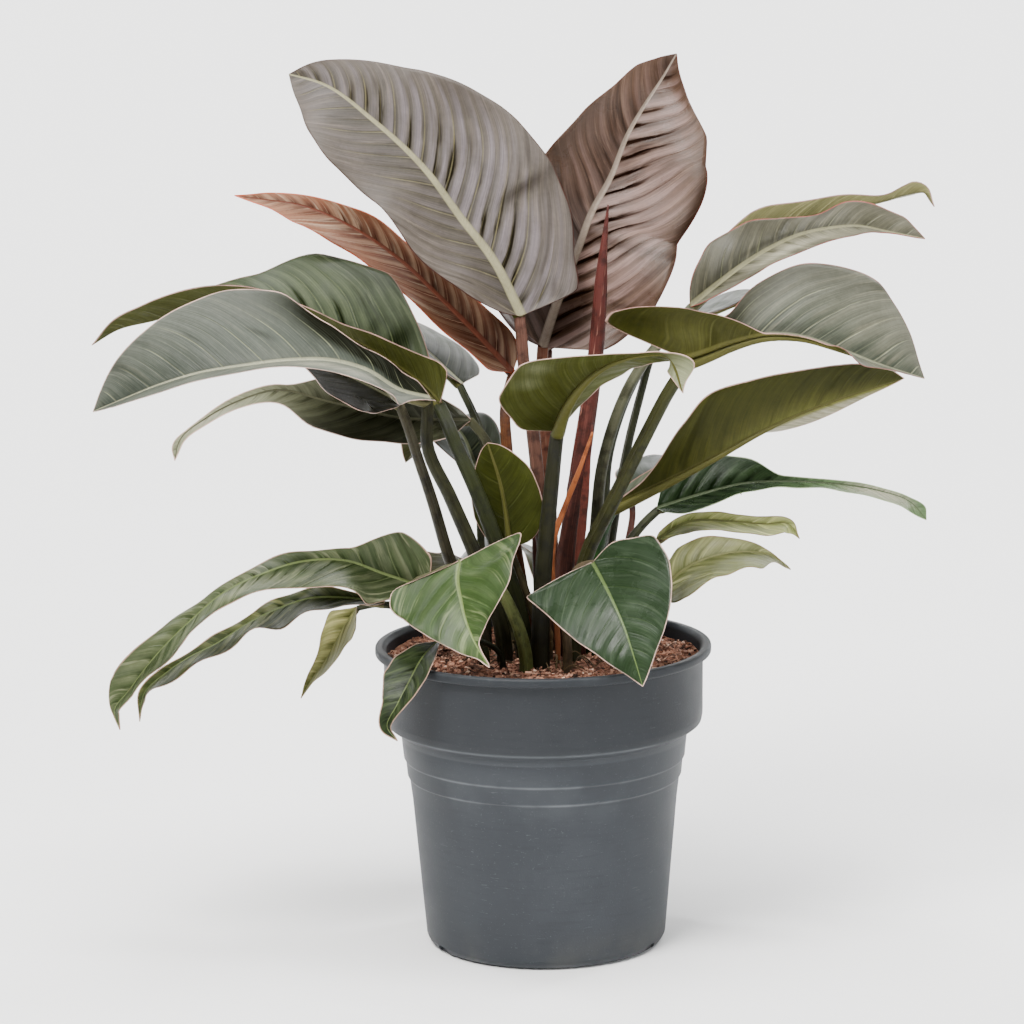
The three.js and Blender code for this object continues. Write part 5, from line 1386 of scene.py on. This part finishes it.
def makeSpike():
    # the blade is rolled up, so one margin laps over the roll and winds slowly round it
    steps, sides = spike["steps"], spike["sides"]
    shares = np.linspace(0, 1, steps) ** spike["rowPower"]
    centres, normals, radii, angle = stemPath(spike, shares)
    points = tube(centres, normals, radii, sides).reshape(steps, sides, 3)
    share = shares[:, None]
    start = spike["start"] + 2 * math.pi * spike["turns"] * share
    lap = ((angle - start) / (2 * math.pi)) % 1.0
    fade = np.clip((share - spike["lapFrom"]) / spike["lapOver"], 0, 1)
    fade = fade * np.clip((1 - share) / spike["tipOver"], 0, 1)
    grow = 1 - spike["lap"] * (1 - lap) * fade
    points = centres[:, None] + (points - centres[:, None]) * grow[..., None]
    edges = np.exp(-((1 - lap) / spike["lapEdge"]) ** 2) * fade
    makeStem("rolledLeaf", "newLeafSpike", "newLeafSkin", points, steps, sides, edges, spike["seed"])


def makeSheath(name, node, sheath, skin):
    steps, sides = sheath["steps"], sheath["sides"]
    shares = np.linspace(0, 1, steps)
    centres, normals, radii, angle = stemPath(sheath, shares)
    rng = np.random.default_rng(sheath["seed"])
    radii = radii * (1 + strip["rough"] * softNoise(rng, strip["roughWaves"] * shares, waves=5))

    def folded(x, y):
        thick = strip["marginThick"] + strip["marginThick"] * np.abs(x)
        return x, sheath["flat"] * (y * thick - strip["hollow"] * (1 - x**2) + strip["raised"])

    points = tube(centres, normals, radii, sides, folded)
    edges = np.abs(np.cos(angle)) ** strip["edgePower"] + 0 * shares[:, None]
    makeStem(name, node, skin, points, steps, sides, edges, sheath["seed"])


def makeStump():
    # a short thick stem with the rings of old leaf scars, rounded at the top
    steps, sides = stump["steps"], stump["sides"]
    shares = np.linspace(0, 1, steps)
    z = stump["low"] + (stump["top"] - stump["low"]) * shares
    x, y = stump["at"]
    centres = np.stack([x + 0 * z, y + 0 * z, z], axis=1)
    scars = np.abs(np.sin(math.pi * stump["scars"] * shares))
    radii = stump["radius"] * (stump["scarLow"] + stump["scarHigh"] * scars)
    radii = radii * np.sqrt(np.clip((stump["domeTop"] - shares) / stump["domeOver"], stump["domeLeast"], 1))
    points = tube(centres, np.array([[0.0, -1.0, 0.0]] * steps), radii, sides)
    rng = np.random.default_rng(stump["seed"])
    rough = softNoise(rng, points[:, 0] / stump["roughAcross"], points[:, 1] / stump["roughAcross"],
                      points[:, 2] / stump["roughAlong"], waves=8)
    points[:, :2] += (points[:, :2] - [x, y]) * (stump["rough"] * rough)[:, None]
    edges = np.exp(-(scars / stump["scarWidth"]) ** 2)[:, None] + np.zeros((1, sides))
    makeStem("stumpBark", "stump", "barkSkin", points, steps, sides, edges, stump["barkSeed"])


makeSpike()
makeSheath("driedStrip", "driedSheath", driedSheath, "driedSkin")
makeSheath("redStrip", "redSheath", redSheath, "redSheathSkin")
makeStump()

print("roots and dry fibres")
fibres = {"count": 46, "radius": 0.5, "sides": 6, "steps": 14, "seed": 77, "middle": (4, -4), "out": (14, 46),
          "reach": (6, 20), "rise": (1.5, 9), "bend": 4, "sunk": 1.2, "within": 92, "girth": (0.5, 1.5),
          "endShare": 0.6, "middleShare": 0.4, "crooked": 0.6, "crookedWaves": 7, "darkest": 0.35, "shades": 0.5}


def makeFibres():
    # thin dry roots and strips of old leaf bases arch out of the soil round the stems
    rng = np.random.default_rng(fibres["seed"])
    steps, sides = fibres["steps"], fibres["sides"]
    u = np.linspace(0, 1, steps)
    arch = np.sin(math.pi * u)
    points, faces, marks = [], [], {}
    for k in range(fibres["count"]):
        a, r = rng.uniform(0, 2 * math.pi), rng.uniform(*fibres["out"])
        x, y = fibres["middle"][0] + r * math.cos(a), fibres["middle"][1] + r * math.sin(a)
        reach, rise = rng.uniform(*fibres["reach"]), rng.uniform(*fibres["rise"])
        way = rng.uniform(0, 2 * math.pi)
        side = rng.normal() * fibres["bend"]
        px = x + reach * u * math.cos(way) - side * arch * math.sin(way)
        py = y + reach * u * math.sin(way) + side * arch * math.cos(way)
        crooked = fibres["crooked"] * softNoise(rng, fibres["crookedWaves"] * u, waves=3)
        pz = soil["top"] - fibres["sunk"] + rise * arch + crooked
        centres = np.stack([px, py, pz], axis=1)
        if np.linalg.norm(centres[:, :2], axis=1).max() >= fibres["within"]:
            continue
        form = fibres["endShare"] + fibres["middleShare"] * arch
        radii = fibres["radius"] * rng.uniform(*fibres["girth"]) * form
        faces += tubeFaces(steps * sides * len(points), steps, sides)
        points.append(tube(centres, np.array([[0.0, 0.0, 1.0]] * steps), radii, sides))
        made = stemMarks(steps, sides, np.zeros(steps * sides), k)
        made["along"] = fibres["darkest"] + fibres["shades"] * rng.uniform() + 0 * made["along"]
        for key, values in made.items():
            marks.setdefault(key, []).append(values)
    makePiece("rootFibres", np.concatenate(points), faces, [stemFinish["barkSkin"]],
              {key: np.concatenate(values) for key, values in marks.items()}, None)


makeFibres()

print("done")
